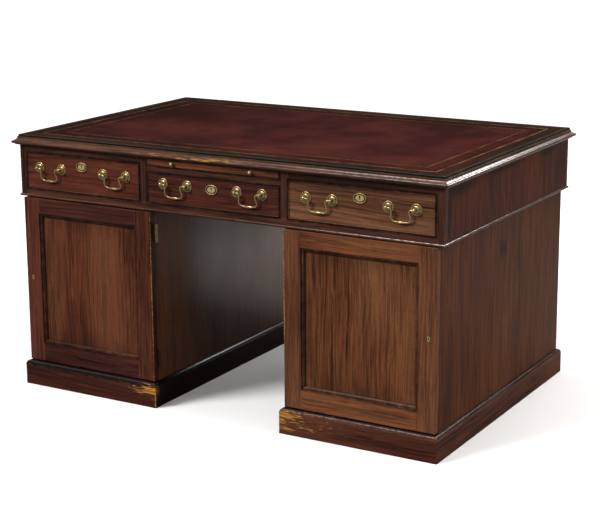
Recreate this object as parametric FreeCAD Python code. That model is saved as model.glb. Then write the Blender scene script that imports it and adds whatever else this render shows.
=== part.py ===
import FreeCAD
import Part
import math
import os

# Pedestal desk: a top section with three drawers and a brushing slide, standing on two cupboard pedestals.
# Millimetres. +X runs to the sitter's right, +Y to the back, +Z up. The origin lies on the floor
# under the middle of the desk.

# Overall
frieze_width = 1410.0
frieze_depth = 890.0
frieze_height = 158.0
desk_height = 780.0

# Top: plate glass over a leather lining, a wooden border and a moulded edge
glass_thickness = 6.0
glass_overhang = 4.0
glass_corner = 5.0
glass_arris = 0.8
top_thickness = 24.0
core_inset = 8.0
border_width = 38.0
leather_thickness = 1.5
lip_overhang = 18.0
nose_radius = 4.5
nose_height = 8.0
nose_quirk = 1.0
cove_margin = 1.0
cove_depth = 2.4

# Frieze: ends, back, face frame, partitions and the bead at its foot
end_thickness = 24.0
frieze_back_thickness = 22.0
stile_depth = 22.0
rail_depth = 60.0
bottom_rail_height = 26.0
top_rail_height = 22.0
slide_rail_height = 22.0
muntin_width = 27.0
centre_bay_width = 444.5
centre_bay_offset = -14.5
partition_thickness = 18.0
runner_width = 22.0
runner_height = 20.0
stop_width = 30.0
stop_depth = 12.0
stop_height = 6.0
stop_spread = 200.0
bead_height = 7.4
bead_base = 1.2
bead_projection = 4.2

# Drawers
drawer_gap = 1.0
running_gap = 0.3
drawer_length = 640.0
front_thickness = 20.0
side_thickness = 10.0
side_drop = 3.0
drawer_back_thickness = 10.0
drawer_back_drop = 8.0
bottom_thickness = 6.0
bottom_rise = 10.0
groove_depth = 4.0
dovetail_lap = 5.0
dovetail_neck = 16.0
dovetail_pitch = 27.0
dovetail_slope = 0.14
cockbead_thickness = 3.0
cockbead_proud = 2.0
cockbead_rebate = 4.0

# Swan-neck handles
handle_outset = 4.25
side_handle_rise = 11.0
centre_handle_rise = 15.5
post_spacing = 82.5
pivot_stand_off = 15.0
post_ball_radius = 5.5
post_neck_radius = 3.6
post_shank_radius = 2.5
rose_radius = 16.5
rose_rim_width = 4.4
rose_rim_height = 2.2
rose_edge_height = 1.0
rose_dish_height = 1.3
rose_dome_height = 6.0
nut_width = 9.0
nut_height = 3.5
nut_end = 1.5
bail_wire_radius = 2.2
bail_end_reach = 4.6
bail_neck_reach = 9.0
bail_neck_radius = 6.0
bail_arm_radius = 47.0
bail_arm_turn = 19.0
bail_corner_radius = 12.0
bail_bow_angle = 8.0
bail_swell_radius = 3.8
bail_swell_length = 32.0
bail_lean = 13.0

# Locks, keyholes and their brass plates
keyhole_drop = 28.5
key_radius = 2.6
key_slot_width = 2.6
key_slot_length = 8.5
plate_half_width = 20.0
plate_half_height = 14.2
plate_end_radius = 10.5
plate_thickness = 1.2
plate_rim_height = 2.2
plate_rim_width = 3.0
plate_boss_height = 2.8
plate_boss_inset = 6.0
plate_round = 0.6
lock_width = 64.0
lock_height = 46.0
lock_depth = 12.0
bolt_width = 24.0
bolt_length = 16.0
bolt_thickness = 6.0
bolt_setback = 3.0
bolt_throw = 8.0
bolt_gap = 0.3
mortise_gap = 1.0

# Brushing slide
slide_thickness = 21.0
slide_length = 430.0
slide_proud = 1.0
slide_nosing = 2.0
slide_knob_spread = 263.0
slide_knob_radius = 5.0
slide_knob_length = 12.0
slide_knob_neck = 3.0
slide_knob_collar = 1.2

# Pedestals
kneehole_width = 448.0
pedestal_inset = 15.0
pedestal_back_inset = 8.0
pedestal_side_thickness = 20.0
pedestal_board_thickness = 18.0
back_frame_width = 60.0
back_frame_thickness = 18.0
back_panel_thickness = 8.0
back_panel_recess = 6.0
panel_tongue = 8.0
shelf_height = 330.0
shelf_thickness = 16.0
shelf_setback = 30.0
shelf_gap = 0.5
batten_width = 15.0
batten_height = 20.0
plinth_height = 75.0
plinth_thickness = 22.0
plinth_projection = 11.75
plinth_ovolo = 8.0
plinth_quirk = 1.2
bearer_width = 40.0
bearer_height = 20.0

# Doors
door_proud = 9.0
door_thickness = 22.0
door_top_gap = 2.5
door_foot_gap = 4.0
door_stile_width = 55.0
door_top_rail = 48.0
door_foot_rail = 58.0
door_panel_thickness = 8.0
door_panel_recess = 10.0
moulding_width = 9.0
moulding_height = 7.5
moulding_fillet = 1.2

# Butt hinges
hinge_gap = 1.5
hinge_length = 54.0
hinge_inset = 38.0
leaf_thickness = 2.0
leaf_width = 18.0
leaf_gap = 0.3
knuckle_radius = 4.0
knuckle_clearance = 0.4
pin_radius = 1.5
pin_fit = 0.1
pin_running_fit = 0.3

# Door locks: a let-in case whose bolt passes through the eye of a link on the pedestal
door_key_inset = 22.0
door_key_height = 340.0
lining_wall = 1.2
lining_depth = 6.0
door_lock_width = 38.0
door_lock_height = 60.0
door_lock_depth = 13.0
door_bolt_rise = 16.0
door_bolt_length = 21.0
door_bolt_height = 6.0
door_bolt_thickness = 3.5
door_bolt_setback = 4.5
door_bolt_start = 15.0
door_bolt_throw = 7.0
link_standing = 8.5
link_thickness = 2.5
link_height = 14.0
link_depth = 11.0
link_gap = 1.1
link_plate_width = 16.0
link_plate_height = 36.0
link_plate_thickness = 1.5


# Levels and planes that several pieces share
half_width = frieze_width / 2
half_depth = frieze_depth / 2
front = -half_depth
board_top = desk_height - glass_thickness
board_base = board_top - top_thickness
frieze_base = board_base - frieze_height
opening_base = frieze_base + bottom_rail_height
side_opening_top = board_base - top_rail_height
slide_base = board_base - slide_thickness - 2 * drawer_gap
centre_opening_top = slide_base - slide_rail_height
bay_end = half_width - end_thickness
centre_left = centre_bay_offset - centre_bay_width / 2
centre_right = centre_bay_offset + centre_bay_width / 2
bays = {
    "left": (-bay_end, centre_left - muntin_width),
    "centre": (centre_left, centre_right),
    "right": (centre_right + muntin_width, bay_end),
}
frieze_inner_back = half_depth - frieze_back_thickness
rail_back = front + rail_depth
front_back = front + front_thickness

knee = kneehole_width / 2
pedestal_out = half_width - pedestal_inset
pedestal_back = half_depth - pedestal_back_inset
back_frame_front = pedestal_back - back_frame_thickness
door_front = front - door_proud
door_back = door_front + door_thickness
pedestal_front = door_back + hinge_gap
door_foot = plinth_height + door_foot_gap
door_top = frieze_base - door_top_gap
hinge_x = knee - knuckle_radius - knuckle_clearance
hinge_y = door_back + hinge_gap / 2


def vec(x, y, z):
    return FreeCAD.Vector(x, y, z)


def board(x0, x1, y0, y1, z0, z1):
    """A plain board between two corners."""
    return Part.makeBox(x1 - x0, y1 - y0, z1 - z0, vec(x0, y0, z0))


def outline(*steps):
    """A closed face in the XZ plane. A point draws a line to it, a pair an arc through the first."""
    edges = []
    here = vec(steps[0][0], 0, steps[0][1])
    for step in steps[1:] + steps[:1]:
        curved = isinstance(step[0], tuple)
        end = step[1] if curved else step
        there = vec(end[0], 0, end[1])
        if curved:
            through = vec(step[0][0], 0, step[0][1])
            edges.append(Part.Arc(here, through, there).toShape())
        elif here.distanceToPoint(there) > 1e-6:
            edges.append(Part.LineSegment(here, there).toShape())
        here = there
    return Part.Face(Part.Wire(edges))


def turned(*steps):
    """A turned piece: its half section spun round the Z axis."""
    return outline(*steps).revolve(vec(0, 0, 0), vec(0, 0, 1), 360)


def facing_front(shape, x, y, z):
    """Lays a shape drawn upright on its back, so that its +Z looks to the front, and sets it in place."""
    shape = shape.copy()
    shape.rotate(vec(0, 0, 0), vec(1, 0, 0), 90)
    shape.translate(vec(x, y, z))
    return shape


def mirrored(shape):
    return shape.mirror(vec(0, 0, 0), vec(1, 0, 0))


def mitred_run(section, out, along):
    """One length of a moulding whose back line is the plane x = out, its two ends mitred."""
    box = section.BoundBox
    inner = box.XMin
    outer = box.XMax
    run = section.copy()
    run.translate(vec(out, -along - outer, 0))
    run = run.extrude(vec(0, 2 * (along + outer), 0))
    corners = [
        vec(out + inner, -along - inner, box.ZMin),
        vec(out + outer, -along - outer, box.ZMin),
        vec(out + outer, along + outer, box.ZMin),
        vec(out + inner, along + inner, box.ZMin),
    ]
    wedge = Part.Face(Part.makePolygon(corners + corners[:1]))
    return run.common(wedge.extrude(vec(0, 0, box.ZMax - box.ZMin))).Solids[0]


def mitred_frame(section, half_x, half_y):
    """Four mitred lengths round a rectangle centred on the Z axis."""
    lengths = []
    for turn in range(4):
        out = half_y if turn % 2 else half_x
        along = half_x if turn % 2 else half_y
        run = mitred_run(section, out, along)
        run.rotate(vec(0, 0, 0), vec(0, 0, 1), 90 * turn)
        lengths.append(run)
    return lengths


def keyhole(grown, depth):
    """A keyhole prism standing on the XY plane, its slot running down -Y."""
    eye = Part.makeCylinder(key_radius + grown, depth)
    half_slot = key_slot_width / 2 + grown
    slot = board(-half_slot, half_slot, -key_slot_length - grown, 0, 0, depth)
    return eye.fuse(slot).removeSplitter()


def top_section():
    """Glass, leather, the board with its border, and the moulded edge."""
    glass_x = half_width + glass_overhang
    glass_y = half_depth + glass_overhang
    glass = board(-glass_x, glass_x, -glass_y, glass_y, board_top, desk_height)
    corners = [e for e in glass.Edges if e.BoundBox.ZLength > glass_thickness / 2]
    glass = glass.makeFillet(glass_corner, corners)
    rim = [e for e in glass.Edges if e.BoundBox.ZMin > desk_height - glass_arris]
    glass = glass.makeChamfer(glass_arris, rim)

    leather_x = half_width - border_width
    leather_y = half_depth - border_width
    leather = board(-leather_x, leather_x, -leather_y, leather_y, board_top - leather_thickness, board_top)
    core_x = half_width - core_inset
    core_y = half_depth - core_inset
    core = board(-core_x, core_x, -core_y, core_y, board_base, board_top).cut(leather)

    nose_x = lip_overhang - nose_radius
    nose_foot = nose_height - nose_radius
    nose_head = nose_height + nose_radius
    flat_end = glass_overhang + cove_margin
    cove_x = nose_x - nose_quirk
    cove_z = nose_head + nose_quirk
    chord = math.hypot(cove_x - flat_end, top_thickness - cove_z)
    sag_x = (cove_x + flat_end) / 2 - cove_depth * (top_thickness - cove_z) / chord
    sag_z = (cove_z + top_thickness) / 2 - cove_depth * (cove_x - flat_end) / chord
    hollow_x = nose_x - nose_foot * math.cos(math.pi / 4)
    hollow_z = nose_foot * math.sin(math.pi / 4)
    section = outline(
        (-core_inset, 0),
        (nose_x - nose_foot, 0),
        ((hollow_x, hollow_z), (nose_x, nose_foot)),
        ((lip_overhang, nose_height), (nose_x, nose_head)),
        (cove_x, nose_head),
        (cove_x, cove_z),
        ((sag_x, sag_z), (flat_end, top_thickness)),
        (-core_inset, top_thickness),
    )
    edge = mitred_frame(section, half_width, half_depth)
    for length in edge:
        length.translate(vec(0, 0, board_base))
    return {
        "glass_sheet": [glass],
        "leather_writing_surface": [leather],
        "top_board": [core],
        "top_edge_moulding": edge,
    }


def bolt_mortise(bay, opening_top):
    """The slot in a rail that the bolt of the drawer below shoots up into."""
    middle = sum(bays[bay]) / 2
    half = bolt_width / 2 + mortise_gap
    y1 = front_back - bolt_setback + mortise_gap
    y0 = y1 - bolt_thickness - 2 * mortise_gap
    return board(middle - half, middle + half, y0, y1, opening_top, opening_top + bolt_throw + mortise_gap)


def frieze():
    """Ends, back, face frame, partitions, drawer supports and the bead round the foot."""
    inner_x = bay_end
    ends = []
    for x in (-half_width, inner_x):
        end = board(x, x + end_thickness, front + stile_depth, half_depth, frieze_base, board_base)
        ends.append(end)
    back = board(-inner_x, inner_x, frieze_inner_back, half_depth, frieze_base, board_base)

    rails = [board(-inner_x, inner_x, front, rail_back, frieze_base, opening_base)]
    for bay in ("left", "right"):
        rail = board(*bays[bay], front, rail_back, side_opening_top, board_base)
        rails.append(rail.cut(bolt_mortise(bay, side_opening_top)))
    slide_rail = board(*bays["centre"], front, rail_back, centre_opening_top, slide_base)
    rails.append(slide_rail.cut(bolt_mortise("centre", centre_opening_top)))

    uprights = []
    partitions = []
    for x in (-half_width, inner_x):
        uprights.append(board(x, x + end_thickness, front, front + stile_depth, frieze_base, board_base))
    faces = {}
    for name, x0 in (("left", centre_left - muntin_width), ("right", centre_right)):
        uprights.append(board(x0, x0 + muntin_width, front, rail_back, opening_base, board_base))
        p0 = x0 + (muntin_width - partition_thickness) / 2
        p1 = p0 + partition_thickness
        partitions.append(board(p0, p1, rail_back, frieze_inner_back, frieze_base, board_base))
        faces[name] = (p0, p1)

    walls = {
        "left": (-inner_x, faces["left"][0]),
        "centre": (faces["left"][1], faces["right"][0]),
        "right": (faces["right"][1], inner_x),
    }
    supports = []
    for bay, (x0, x1) in bays.items():
        wall0, wall1 = walls[bay]
        over0 = centre_opening_top if bay == "centre" else side_opening_top
        over1 = slide_base if bay == "centre" else board_base
        for low, high in ((opening_base - runner_height, opening_base), (over0, over1)):
            supports.append(board(wall0, x0 + runner_width, rail_back, frieze_inner_back, low, high))
            supports.append(board(x1 - runner_width, wall1, rail_back, frieze_inner_back, low, high))
        stop_y = front_back + running_gap
        for side in (-1, 1):
            middle = (x0 + x1) / 2 + side * stop_spread / 2
            stop = board(
                middle - stop_width / 2,
                middle + stop_width / 2,
                stop_y,
                stop_y + stop_depth,
                opening_base,
                opening_base + stop_height,
            )
            supports.append(stop)

    bead_section = outline(
        (0, 0),
        (bead_base, 0),
        ((bead_projection, bead_height / 2), (bead_base, bead_height)),
        (0, bead_height),
    )
    bead = mitred_frame(bead_section, half_width, half_depth)
    for length in bead:
        length.translate(vec(0, 0, frieze_base))
    return {
        "frieze_end_left": ends[:1],
        "frieze_end_right": ends[1:],
        "frieze_back": [back],
        "frieze_rails": rails,
        "frieze_uprights": uprights,
        "drawer_partitions": partitions,
        "drawer_runners": supports,
        "frieze_bead": bead,
    }


def brushing_slide():
    """A board that draws out over the middle drawer by two small turned knobs."""
    x0, x1 = bays["centre"]
    y0 = front - slide_proud
    z0 = slide_base + running_gap
    leaf = board(x0 + drawer_gap, x1 - drawer_gap, y0, y0 + slide_length, z0, z0 + slide_thickness)
    front_edges = [e for e in leaf.Edges if e.BoundBox.YMax < y0 + slide_nosing]
    nosing = [e for e in front_edges if e.BoundBox.XLength > slide_thickness]
    leaf = leaf.makeFillet(slide_nosing, nosing)
    ball_z = slide_knob_length - slide_knob_radius
    ball_seat = ball_z - math.sqrt(slide_knob_radius ** 2 - slide_knob_neck ** 2)
    knob = turned(
        (0, 0),
        (slide_knob_radius, 0),
        (slide_knob_radius, slide_knob_collar),
        (slide_knob_neck, slide_knob_collar),
        (slide_knob_neck, ball_seat),
        ((slide_knob_radius, ball_z), (0, slide_knob_length)),
    )
    knobs = []
    for side in (-1, 1):
        x = centre_bay_offset + side * slide_knob_spread / 2
        knobs.append(facing_front(knob, x, y0, z0 + slide_thickness / 2))
    return {"slide_board": [leaf], "slide_knobs": knobs}


def tail_row(x0, x1, base, tip, z0, z1):
    """A row of dovetail tails that stand on the plane y = base and widen towards y = tip."""
    count = round((z1 - z0) / dovetail_pitch)
    pitch = (z1 - z0) / count
    neck = dovetail_neck / 2
    wide = neck + abs(tip - base) * dovetail_slope
    tails = []
    for i in range(count):
        z = z0 + (i + 0.5) * pitch
        corners = [
            vec(x0, base, z - neck),
            vec(x0, tip, z - wide),
            vec(x0, tip, z + wide),
            vec(x0, base, z + neck),
        ]
        face = Part.Face(Part.makePolygon(corners + corners[:1]))
        tails.append(face.extrude(vec(x1 - x0, 0, 0)))
    return tails


def handle_fittings():
    """A rose, the post that holds it, and the nut inside the drawer, drawn standing on the XY plane."""
    bore = post_neck_radius + pin_fit
    rim_in = rose_radius - rose_rim_width
    dome_mid = (rim_in + bore) / 2
    dome_rise = rose_dish_height + (rose_dome_height - rose_dish_height) * math.sin(math.pi / 3)
    rose = turned(
        (bore, 0),
        (rose_radius, 0),
        (rose_radius, rose_edge_height),
        ((rose_radius - rose_rim_width / 3, rose_rim_height), (rim_in, rose_dish_height)),
        ((dome_mid, dome_rise), (bore, rose_dome_height)),
    )
    shank = front_thickness + nut_height + nut_end
    ball_seat = pivot_stand_off - math.sqrt(post_ball_radius ** 2 - post_neck_radius ** 2)
    post = turned(
        (0, -shank),
        (post_shank_radius, -shank),
        (post_shank_radius, 0),
        (post_neck_radius, 0),
        (post_neck_radius, ball_seat),
        ((post_ball_radius, pivot_stand_off), (0, pivot_stand_off + post_ball_radius)),
    )
    eye_radius = bail_wire_radius + pin_running_fit
    reach = 2 * post_ball_radius
    eye = Part.makeCylinder(eye_radius, 2 * reach, vec(-reach, 0, pivot_stand_off), vec(1, 0, 0))
    post = post.cut(eye)
    half = nut_width / 2
    nut = board(-half, half, -half, half, -front_thickness - nut_height, -front_thickness)
    nut = nut.cut(Part.makeCylinder(post_shank_radius + pin_fit, 2 * shank, vec(0, 0, -shank)))
    return [rose, post, nut]


def swan_neck_bail():
    """A bail drawn in the XZ plane: ends on the pivot line, necks, flaring arms and a bowed bar with a
    swollen grip. It leans back, as it rests against the drawer."""
    half = post_spacing / 2
    turn = math.radians(bail_arm_turn)
    bow = math.radians(bail_bow_angle)
    neck_x = half - bail_neck_reach
    arm_x = neck_x - bail_neck_radius
    arm_z = -bail_neck_radius
    flare_x = arm_x + bail_arm_radius * (1 - math.cos(turn))
    flare_z = arm_z - bail_arm_radius * math.sin(turn)
    corner_x = flare_x - bail_corner_radius * math.cos(turn)
    corner_z = flare_z - bail_corner_radius * math.sin(turn)
    bar_x = corner_x + bail_corner_radius * math.sin(bow)
    bar_z = corner_z - bail_corner_radius * math.cos(bow)
    grip_z = bar_z - bar_x * math.tan(bow / 2)

    def on_arc(cx, cz, radius, angle):
        return vec(cx + radius * math.cos(angle), 0, cz + radius * math.sin(angle))

    def half_path(side):
        def place(point):
            return vec(side * point.x, 0, point.z)

        end = vec(half + bail_end_reach, 0, 0)
        neck_top = vec(neck_x, 0, 0)
        neck_mid = on_arc(neck_x, -bail_neck_radius, bail_neck_radius, 3 * math.pi / 4)
        arm_top = vec(arm_x, 0, arm_z)
        arm_mid = on_arc(arm_x + bail_arm_radius, arm_z, bail_arm_radius, math.pi + turn / 2)
        flare = vec(flare_x, 0, flare_z)
        corner_mid = on_arc(corner_x, corner_z, bail_corner_radius, (turn + bow - math.pi / 2) / 2)
        bar_end = vec(bar_x, 0, bar_z)
        return [
            Part.LineSegment(place(end), place(neck_top)).toShape(),
            Part.Arc(place(neck_top), place(neck_mid), place(arm_top)).toShape(),
            Part.Arc(place(arm_top), place(arm_mid), place(flare)).toShape(),
            Part.Arc(place(flare), place(corner_mid), place(bar_end)).toShape(),
        ]

    bar = Part.Arc(vec(bar_x, 0, bar_z), vec(0, 0, grip_z), vec(-bar_x, 0, bar_z)).toShape()
    path = Part.Wire(Part.__sortEdges__(half_path(1) + [bar] + half_path(-1)))
    start = vec(half + bail_end_reach, 0, 0)
    ring = Part.Wire(Part.makeCircle(bail_wire_radius, start, vec(1, 0, 0)))
    wire = path.makePipeShell([ring], True, False)
    sunk = bail_wire_radius / 2
    grip_end = bail_swell_length / 2
    swell = outline(
        (-grip_end, 0),
        (-grip_end, sunk),
        ((0, bail_swell_radius), (grip_end, sunk)),
        (grip_end, 0),
    )
    swell = swell.revolve(vec(0, 0, 0), vec(1, 0, 0), 360)
    swell.translate(vec(0, 0, grip_z))
    bail = wire.fuse(swell).Solids[0]
    bail.rotate(vec(0, 0, 0), vec(1, 0, 0), bail_lean)
    return bail


def oval(inset, height):
    """An upright disc, set in from the rim of a lock plate: an oval of four arcs that meet smoothly."""
    reach = plate_half_width - plate_end_radius
    rise = plate_half_height - plate_end_radius
    drop = (reach ** 2 - rise ** 2) / (2 * rise)
    angle = math.atan2(drop, reach)
    end_radius = plate_end_radius - inset
    join_x = reach + end_radius * math.cos(angle)
    join_y = end_radius * math.sin(angle)
    side_x = reach + end_radius
    crown_y = plate_half_height - inset
    arcs = []
    for turn in (-1, 1):
        lower = vec(turn * join_x, -turn * join_y, 0)
        upper = vec(turn * join_x, turn * join_y, 0)
        across = vec(-turn * join_x, turn * join_y, 0)
        arcs.append(Part.Arc(lower, vec(turn * side_x, 0, 0), upper).toShape())
        arcs.append(Part.Arc(upper, vec(0, turn * crown_y, 0), across).toShape())
    return Part.Face(Part.Wire(Part.__sortEdges__(arcs))).extrude(vec(0, 0, height))


def lock_plate():
    """An oval brass plate with a raised rim, a raised middle and a keyhole."""
    dish = oval(plate_rim_width, plate_boss_height).cut(oval(0, plate_thickness))
    plate = oval(0, plate_rim_height).cut(dish)
    plate = plate.fuse(oval(plate_boss_inset, plate_boss_height)).removeSplitter()
    crests = [e for e in plate.Edges if e.BoundBox.ZMin > plate_rim_height - plate_round / 2]
    plate = plate.makeFillet(plate_round, crests)
    key = keyhole(0, plate_boss_height)
    key.translate(vec(0, key_slot_length / 2, 0))
    return plate.cut(key)


def drawer(bay, opening_top, handle_rise):
    """A dovetailed drawer with its cockbead, two handles, lock plate, lock and bolt."""
    x0 = bays[bay][0] + drawer_gap
    x1 = bays[bay][1] - drawer_gap
    z0 = opening_base + drawer_gap
    z1 = opening_top - drawer_gap
    middle = (x0 + x1) / 2
    side_foot = opening_base + running_gap
    side_top = z1 - side_drop
    tail_tip = front + dovetail_lap
    drawer_end = front + drawer_length
    back_front = drawer_end - drawer_back_thickness
    bottom_z = side_foot + bottom_rise
    back_foot = bottom_z + bottom_thickness
    back_top = side_top - drawer_back_drop

    inner0 = x0 + side_thickness
    inner1 = x1 - side_thickness
    bottom = board(
        inner0 - groove_depth,
        inner1 + groove_depth,
        front_back - groove_depth,
        drawer_end,
        bottom_z,
        back_foot,
    )
    sides = []
    for a, b in ((x0, inner0), (inner1, x1)):
        tails = tail_row(a, b, front_back, tail_tip, side_foot, side_top)
        tails += tail_row(a, b, back_front, drawer_end, back_foot, back_top)
        side = board(a, b, front_back, back_front, side_foot, side_top).multiFuse(tails).removeSplitter()
        sides.append(side.cut(bottom))
    back = board(x0, x1, back_front, drawer_end, back_foot, back_top).cut(Part.makeCompound(sides))

    face = board(x0, x1, front, front_back, z0, z1)
    rebate = board(x0, x1, front, front + cockbead_rebate, z0, z1).cut(
        board(
            x0 + cockbead_thickness,
            x1 - cockbead_thickness,
            front,
            front + cockbead_rebate,
            z0 + cockbead_thickness,
            z1 - cockbead_thickness,
        )
    )
    nose = cockbead_proud - cockbead_thickness / 2
    strip = outline(
        (-cockbead_thickness, -cockbead_rebate),
        (0, -cockbead_rebate),
        (0, nose),
        ((-cockbead_thickness / 2, cockbead_proud), (-cockbead_thickness, nose)),
    )
    cockbead = []
    for length in mitred_frame(strip, (x1 - x0) / 2, (z1 - z0) / 2):
        cockbead.append(facing_front(length, middle, front, (z0 + z1) / 2))

    case = board(
        middle - lock_width / 2,
        middle + lock_width / 2,
        front_back - lock_depth,
        front_back,
        z1 - lock_height,
        z1,
    )
    bolt_y1 = front_back - bolt_setback
    bolt_y0 = bolt_y1 - bolt_thickness
    bolt_z1 = z1 - bolt_gap
    bolt_z0 = bolt_z1 - bolt_length
    half_bolt = bolt_width / 2
    bolt = board(middle - half_bolt, middle + half_bolt, bolt_y0, bolt_y1, bolt_z0, bolt_z1)
    channel = board(
        middle - half_bolt - bolt_gap,
        middle + half_bolt + bolt_gap,
        bolt_y0 - bolt_gap,
        bolt_y1 + bolt_gap,
        bolt_z0 - bolt_gap,
        z1,
    )
    key_z = z1 - keyhole_drop
    plate = facing_front(lock_plate(), middle, front, key_z)
    key_way = keyhole(0, front_thickness)
    key_way.translate(vec(0, key_slot_length / 2, -front_thickness))
    key_way = facing_front(key_way, middle, front, key_z)

    fittings = []
    bails = []
    drillings = [rebate, bottom, case, key_way] + sides
    handle_z = (z0 + z1) / 2 + handle_rise
    handle_offset = (plate_half_width + (x1 - x0) / 2) / 2 + handle_outset
    pieces = handle_fittings()
    bail = swan_neck_bail()
    for side in (-1, 1):
        handle_x = middle + side * handle_offset
        hung = bail.copy()
        hung.translate(vec(handle_x, front - pivot_stand_off, handle_z))
        bails.append(hung)
        for post in (-1, 1):
            x = handle_x + post * post_spacing / 2
            fittings += [facing_front(piece, x, front, handle_z) for piece in pieces]
            bore = Part.makeCylinder(post_shank_radius + pin_fit, front_thickness)
            drillings.append(facing_front(bore, x, front_back, handle_z))
    face = face.cut(drillings)
    return {
        bay + "_drawer_front": [face] + cockbead,
        bay + "_drawer_box": sides + [back],
        bay + "_drawer_bottom": [bottom],
        bay + "_drawer_handle_posts": fittings,
        bay + "_drawer_bail_left": bails[:1],
        bay + "_drawer_bail_right": bails[1:],
        bay + "_drawer_lock": [plate, case.cut(channel)],
        bay + "_drawer_lock_bolt": [bolt],
    }


def hinge_leaves(middle):
    """One butt hinge of the right door: the pedestal's leaf and pin, and the door's leaf."""
    z0 = middle - hinge_length / 2
    third = hinge_length / 3
    plate_x = hinge_x + knuckle_radius + knuckle_clearance
    edge_x = knee + leaf_width
    play = leaf_gap / 2

    def leaf(y0, y1, spans, bore):
        shape = board(plate_x, edge_x, y0, y1, z0, z0 + hinge_length)
        for low, high in spans:
            shape = shape.fuse(board(hinge_x, plate_x, y0, y1, low, high))
            shape = shape.fuse(Part.makeCylinder(knuckle_radius, high - low, vec(hinge_x, hinge_y, low)))
        return shape.cut(Part.makeCylinder(bore, hinge_length, vec(hinge_x, hinge_y, z0))).removeSplitter()

    fixed_spans = [(z0, z0 + third - play), (z0 + 2 * third + play, z0 + hinge_length)]
    door_spans = [(z0 + third + play, z0 + 2 * third - play)]
    fixed = leaf(hinge_y + play, hinge_y + play + leaf_thickness, fixed_spans, pin_radius + pin_fit)
    moving = leaf(hinge_y - play - leaf_thickness, hinge_y - play, door_spans, pin_radius + pin_running_fit)
    pin = Part.makeCylinder(pin_radius, hinge_length, vec(hinge_x, hinge_y, z0))
    return fixed, pin, moving


def link_plate():
    """The link on the right pedestal's outer side: a let-in plate with an eye that enters the door lock."""
    z = door_key_height + door_bolt_rise
    plate_x = pedestal_out - pedestal_side_thickness / 2
    plate = board(
        plate_x - link_plate_width / 2,
        plate_x + link_plate_width / 2,
        pedestal_front,
        pedestal_front + link_plate_thickness,
        z - link_plate_height / 2,
        z + link_plate_height / 2,
    )
    x0 = pedestal_out - door_key_inset + link_standing
    tongue = board(
        x0,
        x0 + link_thickness,
        door_back - link_depth,
        pedestal_front,
        z - link_height / 2,
        z + link_height / 2,
    )
    bolt_y1 = door_back - door_bolt_setback
    half_eye = door_bolt_height / 2 + 2 * bolt_gap
    eye = board(
        x0,
        x0 + link_thickness,
        bolt_y1 - door_bolt_thickness - 2 * bolt_gap,
        bolt_y1 + 2 * bolt_gap,
        z - half_eye,
        z + half_eye,
    )
    return plate.fuse(tongue).removeSplitter().cut(eye)


def framed_panel(x0, x1, z0, z1, y0, y1, widths, panel_y):
    """Stiles, rails and a panel let into their grooves. widths are stile, foot rail and top rail."""
    stile, foot, top = widths
    panel = board(
        x0 + stile - panel_tongue,
        x1 - stile + panel_tongue,
        panel_y[0],
        panel_y[1],
        z0 + foot - panel_tongue,
        z1 - top + panel_tongue,
    )
    stiles = [
        board(x0, x0 + stile, y0, y1, z0, z1).cut(panel),
        board(x1 - stile, x1, y0, y1, z0, z1).cut(panel),
    ]
    rails = [
        board(x0 + stile, x1 - stile, y0, y1, z0, z0 + foot).cut(panel),
        board(x0 + stile, x1 - stile, y0, y1, z1 - top, z1).cut(panel),
    ]
    return stiles, rails, panel


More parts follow.
